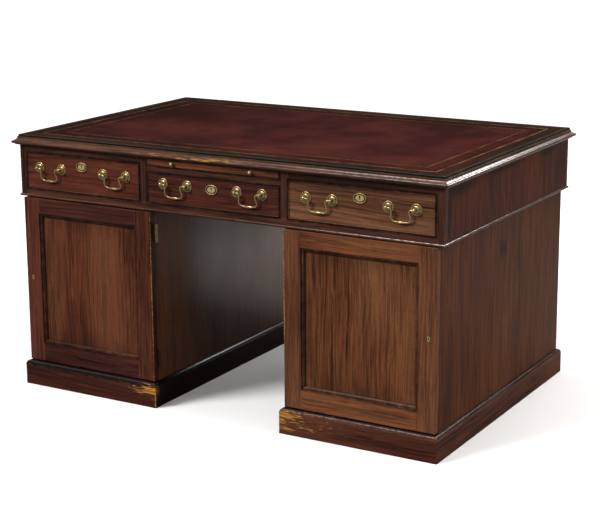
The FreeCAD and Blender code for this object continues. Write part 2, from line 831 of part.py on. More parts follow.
def pedestal(link, fixed_leaves):
    """The right pedestal: sides, back, boards and shelf, and a mitred plinth with its bearers."""
    inner = board(
        knee, knee + pedestal_side_thickness, pedestal_front, pedestal_back, plinth_height, frieze_base
    ).cut(fixed_leaves)
    outer = board(
        pedestal_out - pedestal_side_thickness,
        pedestal_out,
        pedestal_front,
        pedestal_back,
        plinth_height,
        frieze_base,
    ).cut(link)
    x0 = knee + pedestal_side_thickness
    x1 = pedestal_out - pedestal_side_thickness

    foot_top = plinth_height + pedestal_board_thickness
    head_base = frieze_base - pedestal_board_thickness
    boards = [
        board(x0, x1, pedestal_front, back_frame_front, plinth_height, foot_top),
        board(x0, x1, pedestal_front, back_frame_front, head_base, frieze_base),
    ]
    shelf_front = pedestal_front + shelf_setback
    shelf_base = shelf_height - batten_height
    shelf_top = shelf_height + shelf_thickness
    shelf_x = (x0 + shelf_gap, x1 - shelf_gap)
    boards.append(board(*shelf_x, shelf_front, back_frame_front, shelf_height, shelf_top))
    boards.append(board(x0, x0 + batten_width, shelf_front, back_frame_front, shelf_base, shelf_height))
    boards.append(board(x1 - batten_width, x1, shelf_front, back_frame_front, shelf_base, shelf_height))

    panel_back = pedestal_back - back_panel_recess
    frame_widths = (back_frame_width, back_frame_width, back_frame_width)
    stiles, rails, panel = framed_panel(
        x0,
        x1,
        plinth_height,
        frieze_base,
        back_frame_front,
        pedestal_back,
        frame_widths,
        (panel_back - back_panel_thickness, panel_back),
    )

    ovolo_z = plinth_height - plinth_ovolo - plinth_quirk
    ovolo_mid = plinth_ovolo * math.sin(math.pi / 4)
    section = outline(
        (-plinth_thickness, 0),
        (0, 0),
        (0, ovolo_z),
        (-plinth_quirk, ovolo_z),
        (
            (-plinth_quirk - plinth_ovolo + ovolo_mid, ovolo_z + ovolo_mid),
            (-plinth_quirk - plinth_ovolo, ovolo_z + plinth_ovolo),
        ),
        (-plinth_quirk - plinth_ovolo, plinth_height),
        (-plinth_thickness, plinth_height),
    )
    plinth_x0 = knee - plinth_projection
    plinth_x1 = pedestal_out + plinth_projection
    plinth_y0 = door_front - plinth_projection
    plinth_y1 = pedestal_back + plinth_projection
    plinth = mitred_frame(section, (plinth_x1 - plinth_x0) / 2, (plinth_y1 - plinth_y0) / 2)
    for length in plinth:
        length.translate(vec((plinth_x0 + plinth_x1) / 2, (plinth_y0 + plinth_y1) / 2, 0))
    bearer_x0 = plinth_x0 + plinth_thickness
    bearer_x1 = plinth_x1 - plinth_thickness
    for y0 in (plinth_y0 + plinth_thickness, plinth_y1 - plinth_thickness - bearer_width):
        bearer = board(
            bearer_x0, bearer_x1, y0, y0 + bearer_width, plinth_height - bearer_height, plinth_height
        )
        plinth.append(bearer)
    return {
        "pedestal_sides": [inner, outer],
        "pedestal_back": stiles + rails + [panel],
        "pedestal_boards": boards,
        "pedestal_plinth": plinth,
    }


def door(moving_leaves):
    """The right door: a framed panel with mouldings, hinged at the kneehole and locked at its outer stile."""
    x0 = knee
    x1 = pedestal_out
    panel_front = door_front + door_panel_recess
    stiles, rails, panel = framed_panel(
        x0,
        x1,
        door_foot,
        door_top,
        door_front,
        door_back,
        (door_stile_width, door_foot_rail, door_top_rail),
        (panel_front, panel_front + door_panel_thickness),
    )
    ovolo = outline(
        (0, 0),
        (0, moulding_height),
        (-moulding_fillet, moulding_height),
        (
            (-moulding_width * math.sin(math.pi / 4), moulding_height * math.sin(math.pi / 4)),
            (-moulding_width, moulding_fillet),
        ),
        (-moulding_width, 0),
    )
    open_x0 = x0 + door_stile_width
    open_x1 = x1 - door_stile_width
    open_z0 = door_foot + door_foot_rail
    open_z1 = door_top - door_top_rail
    mouldings = []
    for length in mitred_frame(ovolo, (open_x1 - open_x0) / 2, (open_z1 - open_z0) / 2):
        mouldings.append(facing_front(length, (open_x0 + open_x1) / 2, panel_front, (open_z0 + open_z1) / 2))

    key_x = pedestal_out - door_key_inset
    key_y = key_slot_length / 2
    lining = keyhole(lining_wall, lining_depth)
    lining.translate(vec(0, key_y, -lining_depth))
    key_way = keyhole(0, door_thickness)
    key_way.translate(vec(0, key_y, -door_thickness))
    lining = facing_front(lining, key_x, door_front, door_key_height)
    key_way = facing_front(key_way, key_x, door_front, door_key_height)

    case = board(
        key_x - door_lock_width / 2,
        key_x + door_lock_width / 2,
        door_back - door_lock_depth,
        door_back,
        door_key_height - door_lock_height / 2,
        door_key_height + door_lock_height / 2,
    )
    z = door_key_height + door_bolt_rise
    bolt_x0 = key_x - door_bolt_start
    bolt_x1 = bolt_x0 + door_bolt_length
    bolt_y1 = door_back - door_bolt_setback
    bolt_y0 = bolt_y1 - door_bolt_thickness
    half_bolt = door_bolt_height / 2
    bolt = board(bolt_x0, bolt_x1, bolt_y0, bolt_y1, z - half_bolt, z + half_bolt)
    channel = board(
        bolt_x0 - bolt_gap,
        bolt_x1 + door_bolt_throw + bolt_gap,
        bolt_y0 - bolt_gap,
        bolt_y1 + bolt_gap,
        z - half_bolt - bolt_gap,
        z + half_bolt + bolt_gap,
    )
    link_x = key_x + link_standing
    half_link = link_height / 2 + link_gap
    pocket = board(
        link_x - link_gap,
        link_x + link_thickness + link_gap,
        door_back - link_depth - link_gap,
        door_back,
        z - half_link,
        z + half_link,
    )
    stiles[0] = stiles[0].cut(moving_leaves)
    stiles[1] = stiles[1].cut([case, lining, key_way])
    return {
        "door_stiles": stiles,
        "door_rails": rails,
        "door_panel": [panel] + mouldings,
        "door_hinge_leaves": moving_leaves,
        "door_lock": [case.cut([channel, pocket]), lining.cut(key_way)],
        "door_lock_bolt": [bolt],
    }


def cupboards():
    """Both pedestals with their doors and fittings. The left one is the right one's mirror image."""
    fixed_leaves = []
    pins = []
    moving_leaves = []
    for middle in (door_foot + hinge_inset + hinge_length / 2, door_top - hinge_inset - hinge_length / 2):
        fixed, pin, moving = hinge_leaves(middle)
        fixed_leaves.append(fixed)
        pins.append(pin)
        moving_leaves.append(moving)
    link = link_plate()
    right = pedestal(link, fixed_leaves)
    right.update(door(moving_leaves))
    nodes = {}
    for name, shapes in right.items():
        nodes["right_" + name] = shapes
        nodes["left_" + name] = [mirrored(shape) for shape in shapes]
    fixings = fixed_leaves + pins + [link]
    nodes["pedestal_door_fittings"] = fixings + [mirrored(shape) for shape in fixings]
    return nodes


nodes = {}
nodes.update(top_section())
nodes.update(frieze())
nodes.update(brushing_slide())
nodes.update(drawer("left", side_opening_top, side_handle_rise))
nodes.update(drawer("centre", centre_opening_top, centre_handle_rise))
nodes.update(drawer("right", side_opening_top, side_handle_rise))
nodes.update(cupboards())

os.makedirs("parts", exist_ok=True)
for name, shapes in nodes.items():
    whole = shapes[0] if len(shapes) == 1 else Part.makeCompound(shapes)
    whole.exportStep("parts/" + name + ".step")
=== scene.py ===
import math
import bpy
from mathutils import Matrix, Vector


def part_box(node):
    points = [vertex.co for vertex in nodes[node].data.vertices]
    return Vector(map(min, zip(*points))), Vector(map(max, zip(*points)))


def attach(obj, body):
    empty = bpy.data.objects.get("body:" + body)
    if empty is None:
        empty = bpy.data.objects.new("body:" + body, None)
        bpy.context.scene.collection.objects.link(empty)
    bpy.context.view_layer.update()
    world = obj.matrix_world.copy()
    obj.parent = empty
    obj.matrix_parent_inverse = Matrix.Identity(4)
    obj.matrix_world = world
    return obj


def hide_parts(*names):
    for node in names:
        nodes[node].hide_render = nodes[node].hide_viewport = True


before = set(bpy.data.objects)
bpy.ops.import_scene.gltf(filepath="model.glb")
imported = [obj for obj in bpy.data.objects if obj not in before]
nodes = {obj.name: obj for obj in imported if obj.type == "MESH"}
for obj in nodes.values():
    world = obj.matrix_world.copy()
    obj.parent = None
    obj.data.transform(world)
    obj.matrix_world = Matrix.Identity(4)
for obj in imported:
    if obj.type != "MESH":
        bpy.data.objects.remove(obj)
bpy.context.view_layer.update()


# Plinths: each pedestal stands on four mitred mahogany boards with a moulded upper edge, glued to
# two bearers. The polish is old and dark, with painted shade on the moulded edges and down the
# kneehole faces, and shoes and brooms have knocked it off the corners beside the kneehole.

def add_node(tree, kind, inputs=None, **settings):
    """Adds a shader node. An input is given a value, or a socket to be linked to."""
    made = tree.nodes.new("ShaderNode" + kind)
    for name, value in settings.items():
        setattr(made, name, value)
    for name, value in (inputs or {}).items():
        if isinstance(value, bpy.types.NodeSocket):
            tree.links.new(value, made.inputs[name])
        else:
            made.inputs[name].default_value = value
    return made


def new_group(name, inputs, outputs):
    """Starts a node group and returns its tree, its input sockets and its output node."""
    tree = bpy.data.node_groups.new(name, "ShaderNodeTree")
    for socket, kind in inputs:
        tree.interface.new_socket(socket, in_out="INPUT", socket_type="NodeSocket" + kind)
    for socket, kind in outputs:
        tree.interface.new_socket(socket, in_out="OUTPUT", socket_type="NodeSocket" + kind)
    entry = tree.nodes.new("NodeGroupInput")
    return tree, entry.outputs, tree.nodes.new("NodeGroupOutput")


def mix_colour(tree, factor, first, second, mode="MIX"):
    made = add_node(tree, "Mix", {0: factor, 6: first, 7: second}, data_type="RGBA", blend_type=mode)
    return made.outputs[2]


def math_node(tree, operation, first, second=0.0, clamp=False):
    return add_node(tree, "Math", {0: first, 1: second}, operation=operation, use_clamp=clamp).outputs[0]


def vector_node(tree, operation, first, second=(0.0, 0.0, 0.0)):
    return add_node(tree, "VectorMath", {0: first, 1: second}, operation=operation).outputs


def remap(tree, value, low, high, to_low=0.0, to_high=1.0):
    inputs = {"Value": value, "From Min": low, "From Max": high, "To Min": to_low, "To Max": to_high}
    return add_node(tree, "MapRange", inputs).outputs[0]


def noise(tree, vector, scale, detail):
    return add_node(tree, "TexNoise", {"Vector": vector, "Scale": scale, "Detail": detail}).outputs[0]


def stretched_noise(tree, vector, along, across, detail):
    """Noise drawn out along the grain, which is the X axis here."""
    scaled = add_node(tree, "Mapping", {"Vector": vector, "Scale": (along, across, across)})
    inputs = {"Vector": scaled.outputs[0], "Scale": 1.0, "Detail": detail, "Roughness": 0.58}
    return add_node(tree, "TexNoise", inputs).outputs[0]


def wood_figure_group():
    """Bands, streaks, pores and slow mottling of straight-grained wood whose grain runs along X."""
    tree, given, out = new_group(
        "wood_figure",
        [("Coordinates", "Vector")],
        [("Bands", "Float"), ("Streaks", "Float"), ("Pores", "Float"), ("Mottle", "Float")],
    )
    drift = add_node(tree, "TexNoise", {"Vector": given["Coordinates"], "Scale": 2.6, "Detail": 2.0})
    centred = vector_node(tree, "SUBTRACT", drift.outputs["Color"], (0.5, 0.5, 0.5))[0]
    sideways = vector_node(tree, "MULTIPLY", centred, (0.0, 0.03, 0.03))[0]
    bent = vector_node(tree, "ADD", given["Coordinates"], sideways)[0]
    results = {
        "Bands": stretched_noise(tree, bent, 1.6, 100.0, 3.0),
        "Streaks": stretched_noise(tree, bent, 5.0, 230.0, 4.0),
        "Pores": remap(tree, stretched_noise(tree, bent, 45.0, 900.0, 1.0), 0.58, 0.72),
        "Mottle": stretched_noise(tree, given["Coordinates"], 1.8, 8.0, 2.0),
    }
    for name, socket in results.items():
        tree.links.new(socket, out.inputs[name])
    return tree


def rubbed_arris_group():
    """Where handling has rubbed an outer edge, with a normal that rounds the edge a little."""
    tree, given, out = new_group(
        "rubbed_arris",
        [("Coordinates", "Vector"), ("Radius", "Float")],
        [("Rubbed", "Float"), ("Normal", "Vector")],
    )
    rounded = add_node(tree, "Bevel", {"Radius": given["Radius"]}, samples=4)
    flat = add_node(tree, "NewGeometry")
    facing = vector_node(tree, "DOT_PRODUCT", rounded.outputs[0], flat.outputs["Normal"])["Value"]
    edge = remap(tree, math_node(tree, "SUBTRACT", 1.0, facing), 0.01, 0.12)
    worn = remap(tree, noise(tree, given["Coordinates"], 38.0, 4.0), 0.4, 0.6)
    tree.links.new(math_node(tree, "MULTIPLY", edge, worn), out.inputs["Rubbed"])
    tree.links.new(rounded.outputs[0], out.inputs["Normal"])
    return tree


def dirt_and_shade_darkening_group():
    """Settled wax and dust with painted shade in quirks, corners, beside raised work and in deep holes.
    """
    tree, given, out = new_group(
        "dirt_and_shade_darkening",
        [("Reach", "Float")],
        [("Dirt And Shade", "Float"), ("Hole Shade", "Float")],
    )
    hollow = add_node(tree, "AmbientOcclusion", {"Distance": given["Reach"]}, samples=6, only_local=True)
    closed = math_node(tree, "SUBTRACT", 1.0, hollow.outputs["AO"])
    tree.links.new(remap(tree, closed, 0.1, 0.5), out.inputs["Dirt And Shade"])
    tree.links.new(remap(tree, closed, 0.6, 0.8), out.inputs["Hole Shade"])
    return tree


def marked_spot_group():
    """A ragged spot round a place: where polish is knocked off, a knotted patch of grain, a smudge, or
    painted shade.
    """
    tree, given, out = new_group(
        "marked_spot",
        [("Coordinates", "Vector"), ("Centre", "Vector"), ("Reach", "Vector"), ("Cover", "Float"),
         ("Raggedness", "Float")],
        [("Spot", "Float")],
    )
    away = vector_node(tree, "SUBTRACT", given["Coordinates"], given["Centre"])[0]
    share = vector_node(tree, "DIVIDE", away, given["Reach"])[0]
    inside = math_node(tree, "SUBTRACT", given["Cover"], vector_node(tree, "LENGTH", share)["Value"])
    ragged = stretched_noise(tree, given["Coordinates"], 30.0, 260.0, 6.0)
    chipped = math_node(tree, "MULTIPLY", math_node(tree, "SUBTRACT", ragged, 0.5), given["Raggedness"])
    tree.links.new(remap(tree, math_node(tree, "ADD", inside, chipped), 0.1, 0.3), out.inputs["Spot"])
    return tree


def mitred_grain_group():
    """Coordinates whose X axis follows the grain round a mitred rectangle."""
    tree, given, out = new_group(
        "mitred_grain",
        [("Coordinates", "Vector"), ("Middle", "Vector"), ("Width Over Depth", "Float")],
        [("Coordinates", "Vector")],
    )
    away = vector_node(tree, "SUBTRACT", given["Coordinates"], given["Middle"])[0]
    parts = add_node(tree, "SeparateXYZ", {0: vector_node(tree, "ABSOLUTE", away)[0]}).outputs
    beyond = math_node(tree, "SUBTRACT", parts["X"], parts["Y"])
    on_side = math_node(tree, "GREATER_THAN", beyond, given["Width Over Depth"])
    place = add_node(tree, "SeparateXYZ", {0: given["Coordinates"]}).outputs
    swapped = add_node(tree, "CombineXYZ", {"X": place["Y"], "Y": place["X"], "Z": place["Z"]}).outputs[0]
    chosen = add_node(tree, "Mix", {0: on_side, 4: given["Coordinates"], 5: swapped}, data_type="VECTOR")
    tree.links.new(chosen.outputs[1], out.inputs["Coordinates"])
    return tree


def dirt_and_shadow_line_group():
    """Grime and painted shadow round an upright rectangle, where a drawer or panel meets its frame."""
    tree, given, out = new_group(
        "dirt_and_shadow_line",
        [("Coordinates", "Vector"), ("Middle", "Vector"), ("Half Size", "Vector"), ("Width", "Float")],
        [("Dirt And Shade", "Float")],
    )
    away = vector_node(tree, "SUBTRACT", given["Coordinates"], given["Middle"])[0]
    past = vector_node(tree, "SUBTRACT", vector_node(tree, "ABSOLUTE", away)[0], given["Half Size"])[0]
    parts = add_node(tree, "SeparateXYZ", {0: past}).outputs
    off_line = math_node(tree, "ABSOLUTE", math_node(tree, "MAXIMUM", parts["X"], parts["Z"]))
    share = math_node(tree, "DIVIDE", off_line, given["Width"])
    line = math_node(tree, "MULTIPLY", math_node(tree, "SUBTRACT", 1.0, share), 1.6, clamp=True)
    uneven = remap(tree, noise(tree, given["Coordinates"], 45.0, 4.0), 0.35, 0.6, 0.5, 1.0)
    tree.links.new(math_node(tree, "MULTIPLY", line, uneven), out.inputs["Dirt And Shade"])
    return tree


def shade_and_grime_band_group():
    """A band of painted shade with old wax and dust above a level, with a ragged lower edge."""
    tree, given, out = new_group(
        "shade_and_grime_band",
        [("Coordinates", "Vector"), ("Level", "Float")],
        [("Dirt And Shade", "Float")],
    )
    height = add_node(tree, "SeparateXYZ", {0: given["Coordinates"]}).outputs["Z"]
    above = math_node(tree, "SUBTRACT", height, given["Level"])
    ragged = remap(tree, noise(tree, given["Coordinates"], 70.0, 5.0), 0.3, 0.7, -0.004, 0.004)
    tree.links.new(remap(tree, math_node(tree, "ADD", above, ragged), 0.0, 0.003), out.inputs["Dirt And Shade"])
    return tree


wood_figure = wood_figure_group()
rubbed_arris = rubbed_arris_group()
dirt_and_shade_darkening = dirt_and_shade_darkening_group()
marked_spot = marked_spot_group()
mitred_grain = mitred_grain_group()
dirt_and_shadow_line = dirt_and_shadow_line_group()
shade_and_grime_band = shade_and_grime_band_group()
SIDES = ("left", "right")
GRAIN_TURNS = {"X": (0.0, 0.0, 0.0), "Y": (0.0, 0.0, -math.pi / 2), "Z": (0.0, math.pi / 2, 0.0)}
DEEP = (0.026, 0.0085, 0.0052)
BODY = (0.098, 0.0310, 0.0155)
BRIGHT = (0.225, 0.082, 0.0335)
BLEACHED = (0.125, 0.056, 0.0270)
BARE_WOOD = (0.47, 0.225, 0.050, 1.0)
BARE_LINES = (0.35, 0.3, 0.28)
RUBBED_WOOD = (0.26, 0.125, 0.048, 1.0)
# Near black, for settled grime and painted shade in corners, gaps and holes.
DIRT_AND_SHADE_COLOUR = (0.004, 0.0028, 0.0024, 1.0)
DIRT_AND_SHADE_REACH = 0.010
DIRT_AND_SHADE_COVER = 0.9
DARK_SPOT_COVER = 0.65
PORE_SHADE = 0.5
PORE_DEPTH = 0.6
ARRIS_RADIUS = 0.0016
GRAIN_RELIEF = 0.0004
POLISH_ROUGHNESS = 0.16


def place_group(tree, group, inputs):
    made = add_node(tree, "Group", node_tree=group)
    for name, value in inputs.items():
        if isinstance(value, bpy.types.NodeSocket):
            tree.links.new(value, made.inputs[name])
        else:
            made.inputs[name].default_value = value
    return made.outputs


def toned(colour, tone):
    return tuple(c * t for c, t in zip(colour, tone)) + (1.0,)


def ragged_spot(tree, place, spot):
    centre, reach, cover, ragged = spot
    inputs = {"Coordinates": place, "Centre": centre, "Reach": reach, "Cover": cover}
    return place_group(tree, marked_spot, inputs | {"Raggedness": ragged})["Spot"]


def mahogany(name, grain="X", tone=(1.0, 1.0, 1.0), mitred=None, bare=(), dark_spots=(), dirt_and_shadow_lines=(),
             shade_and_grime_above=None, polish=None, polish_ior=1.5, rubbing=0.6, bleaching=0.35, specular=0.2):
    """Old polished mahogany. mitred is the middle and the size of a mitred rectangle that the grain
    follows. bare and knots hold spots: their places, reaches, covers and raggedness; some dark spots are
    painted shade. shut holds the middles, sizes, widths and strengths of dark lines of grime and painted
    shadow. polish makes the mask of the places where the polish is still thick."""
    material = bpy.data.materials.new(name)
    material.use_nodes = True
    tree = material.node_tree
    shader = tree.nodes["Principled BSDF"]
    place = add_node(tree, "TexCoord").outputs["Object"]
    if mitred:
        middle, size = mitred
        inputs = {"Coordinates": place, "Middle": middle, "Width Over Depth": (size.x - size.y) / 2}
        along = place_group(tree, mitred_grain, inputs)["Coordinates"]
    else:
        along = add_node(tree, "Mapping", {"Vector": place, "Rotation": GRAIN_TURNS[grain]}).outputs[0]
    figure = place_group(tree, wood_figure, {"Coordinates": along})
    banded = remap(tree, figure["Bands"], 0.32, 0.58)
    colour = mix_colour(tree, banded, toned(DEEP, tone), toned(BODY, tone))
    colour = mix_colour(tree, remap(tree, figure["Streaks"], 0.42, 0.8), colour, toned(BRIGHT, tone))
    sunned = math_node(tree, "MULTIPLY", remap(tree, figure["Mottle"], 0.45, 0.7), bleaching)
    colour = mix_colour(tree, sunned, colour, toned(BLEACHED, tone))
    shade = remap(tree, figure["Mottle"], 0.3, 0.65, 0.62, 1.18)
    shade = math_node(tree, "MULTIPLY", shade, remap(tree, figure["Pores"], 0.0, 1.0, 1.0, PORE_SHADE))
    colour = vector_node(tree, "MULTIPLY", colour, shade)[0]
    # Dark spots: knotted grain, smudges and painted shade.
    for dark_spot in dark_spots:
        dark = math_node(tree, "MULTIPLY", ragged_spot(tree, place, dark_spot), DARK_SPOT_COVER)
        colour = mix_colour(tree, dark, colour, DIRT_AND_SHADE_COLOUR)
    # Ambient occlusion darkens corners, quirks and the ground beside raised work: settled grime with
    # painted shade.
    dirt_and_shade = place_group(tree, dirt_and_shade_darkening, {"Reach": DIRT_AND_SHADE_REACH})["Dirt And Shade"]
    # Dark lines of grime and painted shadow round drawers, panels and their openings.
    for middle, size, width, strength in dirt_and_shadow_lines:
        inputs = {"Coordinates": place, "Middle": middle, "Half Size": size / 2, "Width": width}
        line = math_node(tree, "MULTIPLY", place_group(tree, dirt_and_shadow_line, inputs)["Dirt And Shade"], strength)
        dirt_and_shade = math_node(tree, "MAXIMUM", dirt_and_shade, line)
    if shade_and_grime_above:
        band = place_group(tree, shade_and_grime_band, {"Coordinates": place, "Level": shade_and_grime_above})["Dirt And Shade"]
        dirt_and_shade = math_node(tree, "MAXIMUM", dirt_and_shade, band)
    arris = place_group(tree, rubbed_arris, {"Coordinates": place, "Radius": ARRIS_RADIUS})
    clean = math_node(tree, "SUBTRACT", 1.0, dirt_and_shade, clamp=True)
    rubbed = math_node(tree, "MULTIPLY", arris["Rubbed"], clean)
    colour = mix_colour(tree, math_node(tree, "MULTIPLY", dirt_and_shade, DIRT_AND_SHADE_COVER), colour, DIRT_AND_SHADE_COLOUR)
    colour = mix_colour(tree, math_node(tree, "MULTIPLY", rubbed, rubbing), colour, RUBBED_WOOD)
    gloss = remap(tree, figure["Mottle"], 0.3, 0.7, 0.3, 0.44)
    gloss = math_node(tree, "ADD", gloss, math_node(tree, "MULTIPLY", figure["Pores"], 0.1))
    for knock in bare:
        spot = ragged_spot(tree, place, knock)
        lines = remap(tree, figure["Streaks"], 0.36, 0.56)
        grained = mix_colour(tree, lines, toned(BARE_WOOD, BARE_LINES), BARE_WOOD)
        colour = mix_colour(tree, spot, colour, grained)
        gloss = math_node(tree, "ADD", gloss, math_node(tree, "MULTIPLY", spot, 0.35), clamp=True)
    sunk = math_node(tree, "MULTIPLY", figure["Pores"], PORE_DEPTH)
    height = math_node(tree, "SUBTRACT", figure["Streaks"], sunk)
    inputs = {"Height": height, "Strength": 0.1, "Distance": GRAIN_RELIEF, "Normal": arris["Normal"]}
    bump = add_node(tree, "Bump", inputs)
    tree.links.new(colour, shader.inputs["Base Color"])
    tree.links.new(gloss, shader.inputs["Roughness"])
    tree.links.new(bump.outputs[0], shader.inputs["Normal"])
    shader.inputs["Specular IOR Level"].default_value = specular
    if polish:
        tree.links.new(polish(tree, place), shader.inputs["Coat Weight"])
        shader.inputs["Coat Roughness"].default_value = POLISH_ROUGHNESS
        shader.inputs["Coat IOR"].default_value = polish_ior
    return material


def finish_node(node, material):
    """Gives a piece its material."""
    piece = nodes[node]
    piece.data.materials.clear()
    piece.data.materials.append(material)
    return piece


def middle_and_size(node):
    low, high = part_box(node)
    return (low + high) / 2, high - low


KNOCKS = {
    "left": [(0.050, (0.085, 0.02, 0.017), 0.9, 4.2), (0.03, (0.004, 0.004, 0.06), 0.8, 3.0)],
    "right": [(0.058, (0.085, 0.03, 0.012), 0.85, 3.4), (0.018, (0.06, 0.03, 0.008), 0.8, 3.4),
              (0.040, (0.30, 0.03, 0.06), 0.1, 4.6)],
}
MOULDED_FROM = 0.0605
# Above these heights the moulded edges of the plinths are painted dark: painted shade with old wax and
# dust.
SHADE_AND_GRIME_FROM = {"left": 0.0605, "right": 0.070}
# The left plinth is painted darker than the right: tone with painted shade.
PLINTH_TONE_AND_LIGHT = {"left": (0.47, 0.39, 0.46), "right": (0.66, 0.58, 0.65)}


def polish_on_moulding(tree, place):
    """Thick on the moulded edge, with scuffs."""
    height = add_node(tree, "SeparateXYZ", {0: place}).outputs["Z"]
    above = math_node(tree, "GREATER_THAN", height, MOULDED_FROM)
    scuffed = remap(tree, noise(tree, place, 110.0, 3.0), 0.4, 0.56, 0.1, 0.6)
    return math_node(tree, "MULTIPLY", above, scuffed)


for side in SIDES:
    plinth_node = side + "_pedestal_plinth"
    plinth_low, plinth_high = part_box(plinth_node)
    inner_x = plinth_high.x if side == "left" else plinth_low.x
    knocks = [((inner_x, plinth_low.y, rise), *knock) for rise, *knock in KNOCKS[side]]
    # A thin strip of painted shade down the kneehole face of each plinth.
    unlit = ((inner_x, 0.0, 0.03), (0.001, 0.5, 0.06), 1.6, 0.5)
    plinth_wood = mahogany(side + "_plinth_wood", tone=PLINTH_TONE_AND_LIGHT[side],
                           mitred=middle_and_size(plinth_node), bare=knocks, dark_spots=[unlit],
                           shade_and_grime_above=SHADE_AND_GRIME_FROM[side], bleaching=0.5, polish=polish_on_moulding)
    finish_node(plinth_node, plinth_wood)


# Pedestals: two mahogany sides joined to boards at top, foot and shelf height, with a framed and
# panelled back. The sides are wide boards with upright grain, planed flat, polished outside and eased
# at their edges.

def ease_arrises(node, width):
    """Rounds the sharp edges of a piece made of boards that don't touch each other."""
    piece = nodes[node]
    weld = piece.modifiers.new("closed corners", "WELD")
    weld.merge_threshold = 1e-6
    bevel = piece.modifiers.new("eased arris", "BEVEL")
    bevel.width = width
    bevel.segments = 2
    bevel.limit_method = "ANGLE"
    bevel.angle_limit = math.radians(40)
    even = piece.modifiers.new("flat faces", "WEIGHTED_NORMAL")
    even.keep_sharp = False


SIDE_ARRIS = 0.0008
KNEEHOLE_FACE = 0.23
KNOT = ((0.69, -0.015, 0.497), (0.03, 0.027, 0.034), 1.0, 1.8)


def polish_in_kneehole(tree, place):
    """Thick on the faces beside the kneehole, where no light has faded it."""
    across = math_node(tree, "ABSOLUTE", add_node(tree, "SeparateXYZ", {0: place}).outputs["X"])
    cloudy = remap(tree, noise(tree, place, 6.0, 2.0), 0.3, 0.7, 0.65, 0.85)
    return math_node(tree, "MULTIPLY", math_node(tree, "LESS_THAN", across, KNEEHOLE_FACE), cloudy)


side_wood = mahogany("pedestal_side_wood", grain="Z", tone=(0.72, 0.6, 0.44), dark_spots=[KNOT], bleaching=0.6,
                     specular=0.15, polish=polish_in_kneehole)
back_wood = mahogany("pedestal_back_wood", grain="Z", tone=(0.9, 0.9, 0.9))
shelf_wood = mahogany("pedestal_board_wood", grain="X", tone=(0.9, 0.95, 1.0), specular=0.15)
for side in SIDES:
    finish_node(side + "_pedestal_sides", side_wood)
    finish_node(side + "_pedestal_back", back_wood)
    finish_node(side + "_pedestal_boards", shelf_wood)
    ease_arrises(side + "_pedestal_sides", SIDE_ARRIS)


# Doors: mortised mahogany frames that lie on the pedestals' front edges, each round a flat panel with
# upright grain, held by mitred mouldings. Brass butts hang them beside the kneehole, and a let-in lock
# closes the outer stile.
BRASS = (0.74, 0.55, 0.25, 1.0)
TARNISH = (0.075, 0.043, 0.019, 1.0)
GROOVE_OUTSIDE = 1.1
GROOVE_INSIDE = 0.85


def aged_brass(name, polish, tarnished=0.35, bright=0.85, groove=None, brown_below=0.0):
    """Cast brass, rubbed on its high parts and brown in its hollows, with painted black shade in its deep
    holes. bright is how metallic the rubbed parts are, groove is the middle and reach of a dark oval
    groove, and below the height brown_below the brass is all brown."""
    material = bpy.data.materials.new(name)
    material.use_nodes = True
    tree = material.node_tree
    shader = tree.nodes["Principled BSDF"]
    place = add_node(tree, "TexCoord").outputs["Object"]
    cloud = noise(tree, place, 130.0, 5.0)
    scratches = stretched_noise(tree, place, 300.0, 2600.0, 2.0)
    hollow = place_group(tree, dirt_and_shade_darkening, {"Reach": 0.006})
    browned = remap(tree, cloud, 0.4, 0.75, tarnished - 0.25, tarnished + 0.35)
    rise = add_node(tree, "SeparateXYZ", {0: place}).outputs["Z"]
    all_brown = math_node(tree, "LESS_THAN", rise, brown_below)
    tarnish = math_node(tree, "ADD", hollow["Dirt And Shade"], math_node(tree, "ADD", browned, all_brown), clamp=True)
    if groove:
        outside = ragged_spot(tree, place, (*groove, GROOVE_OUTSIDE, 0.0))
        inside = ragged_spot(tree, place, (*groove, GROOVE_INSIDE, 0.0))
        ring = math_node(tree, "SUBTRACT", outside, inside)
        tarnish = math_node(tree, "ADD", tarnish, ring, clamp=True)
    colour = mix_colour(tree, tarnish, BRASS, TARNISH)
    # Deep holes are painted black: painted shade.
    colour = mix_colour(tree, hollow["Hole Shade"], colour, DIRT_AND_SHADE_COLOUR)
    gloss = remap(tree, tarnish, 0.0, 1.0, polish, polish + 0.25)
    gloss = math_node(tree, "ADD", gloss, remap(tree, scratches, 0.3, 0.7, -0.04, 0.06))
    bump = add_node(tree, "Bump", {"Height": cloud, "Strength": 0.15, "Distance": 0.0003})
    tree.links.new(colour, shader.inputs["Base Color"])
    tree.links.new(gloss, shader.inputs["Roughness"])
    tree.links.new(bump.outputs[0], shader.inputs["Normal"])
    tree.links.new(remap(tree, tarnish, 0.0, 1.0, bright, 0.6 * bright), shader.inputs["Metallic"])
    return material


# The two doors differ in tone, and the right one is painted lighter and the left darker: painted light
# and shade.
PANEL_TONE_AND_LIGHT = {"left": (1.0, 0.86, 0.84), "right": (1.22, 1.22, 1.05)}
STILE_TONE_AND_LIGHT = {"left": (0.8, 0.66, 0.76), "right": (1.0, 1.04, 1.04)}
RAIL_TONE_AND_LIGHT = {"left": (0.47, 0.38, 0.58), "right": (1.25, 1.2, 1.08)}
STILE_WIDTH = 0.055
TOP_RAIL = 0.048
FOOT_RAIL = 0.058
STILE_ARRIS = 0.0012
RAIL_ARRIS = 0.0006
# Dark lines of grime and painted shadow round each door's sight, and a broad band of painted shade over
# the panel mouldings.
FRAME_LINE = (0.004, 0.9)
PANEL_LINE = (0.016, 0.85)
PANEL_SHADE = (0.06, 0.3)
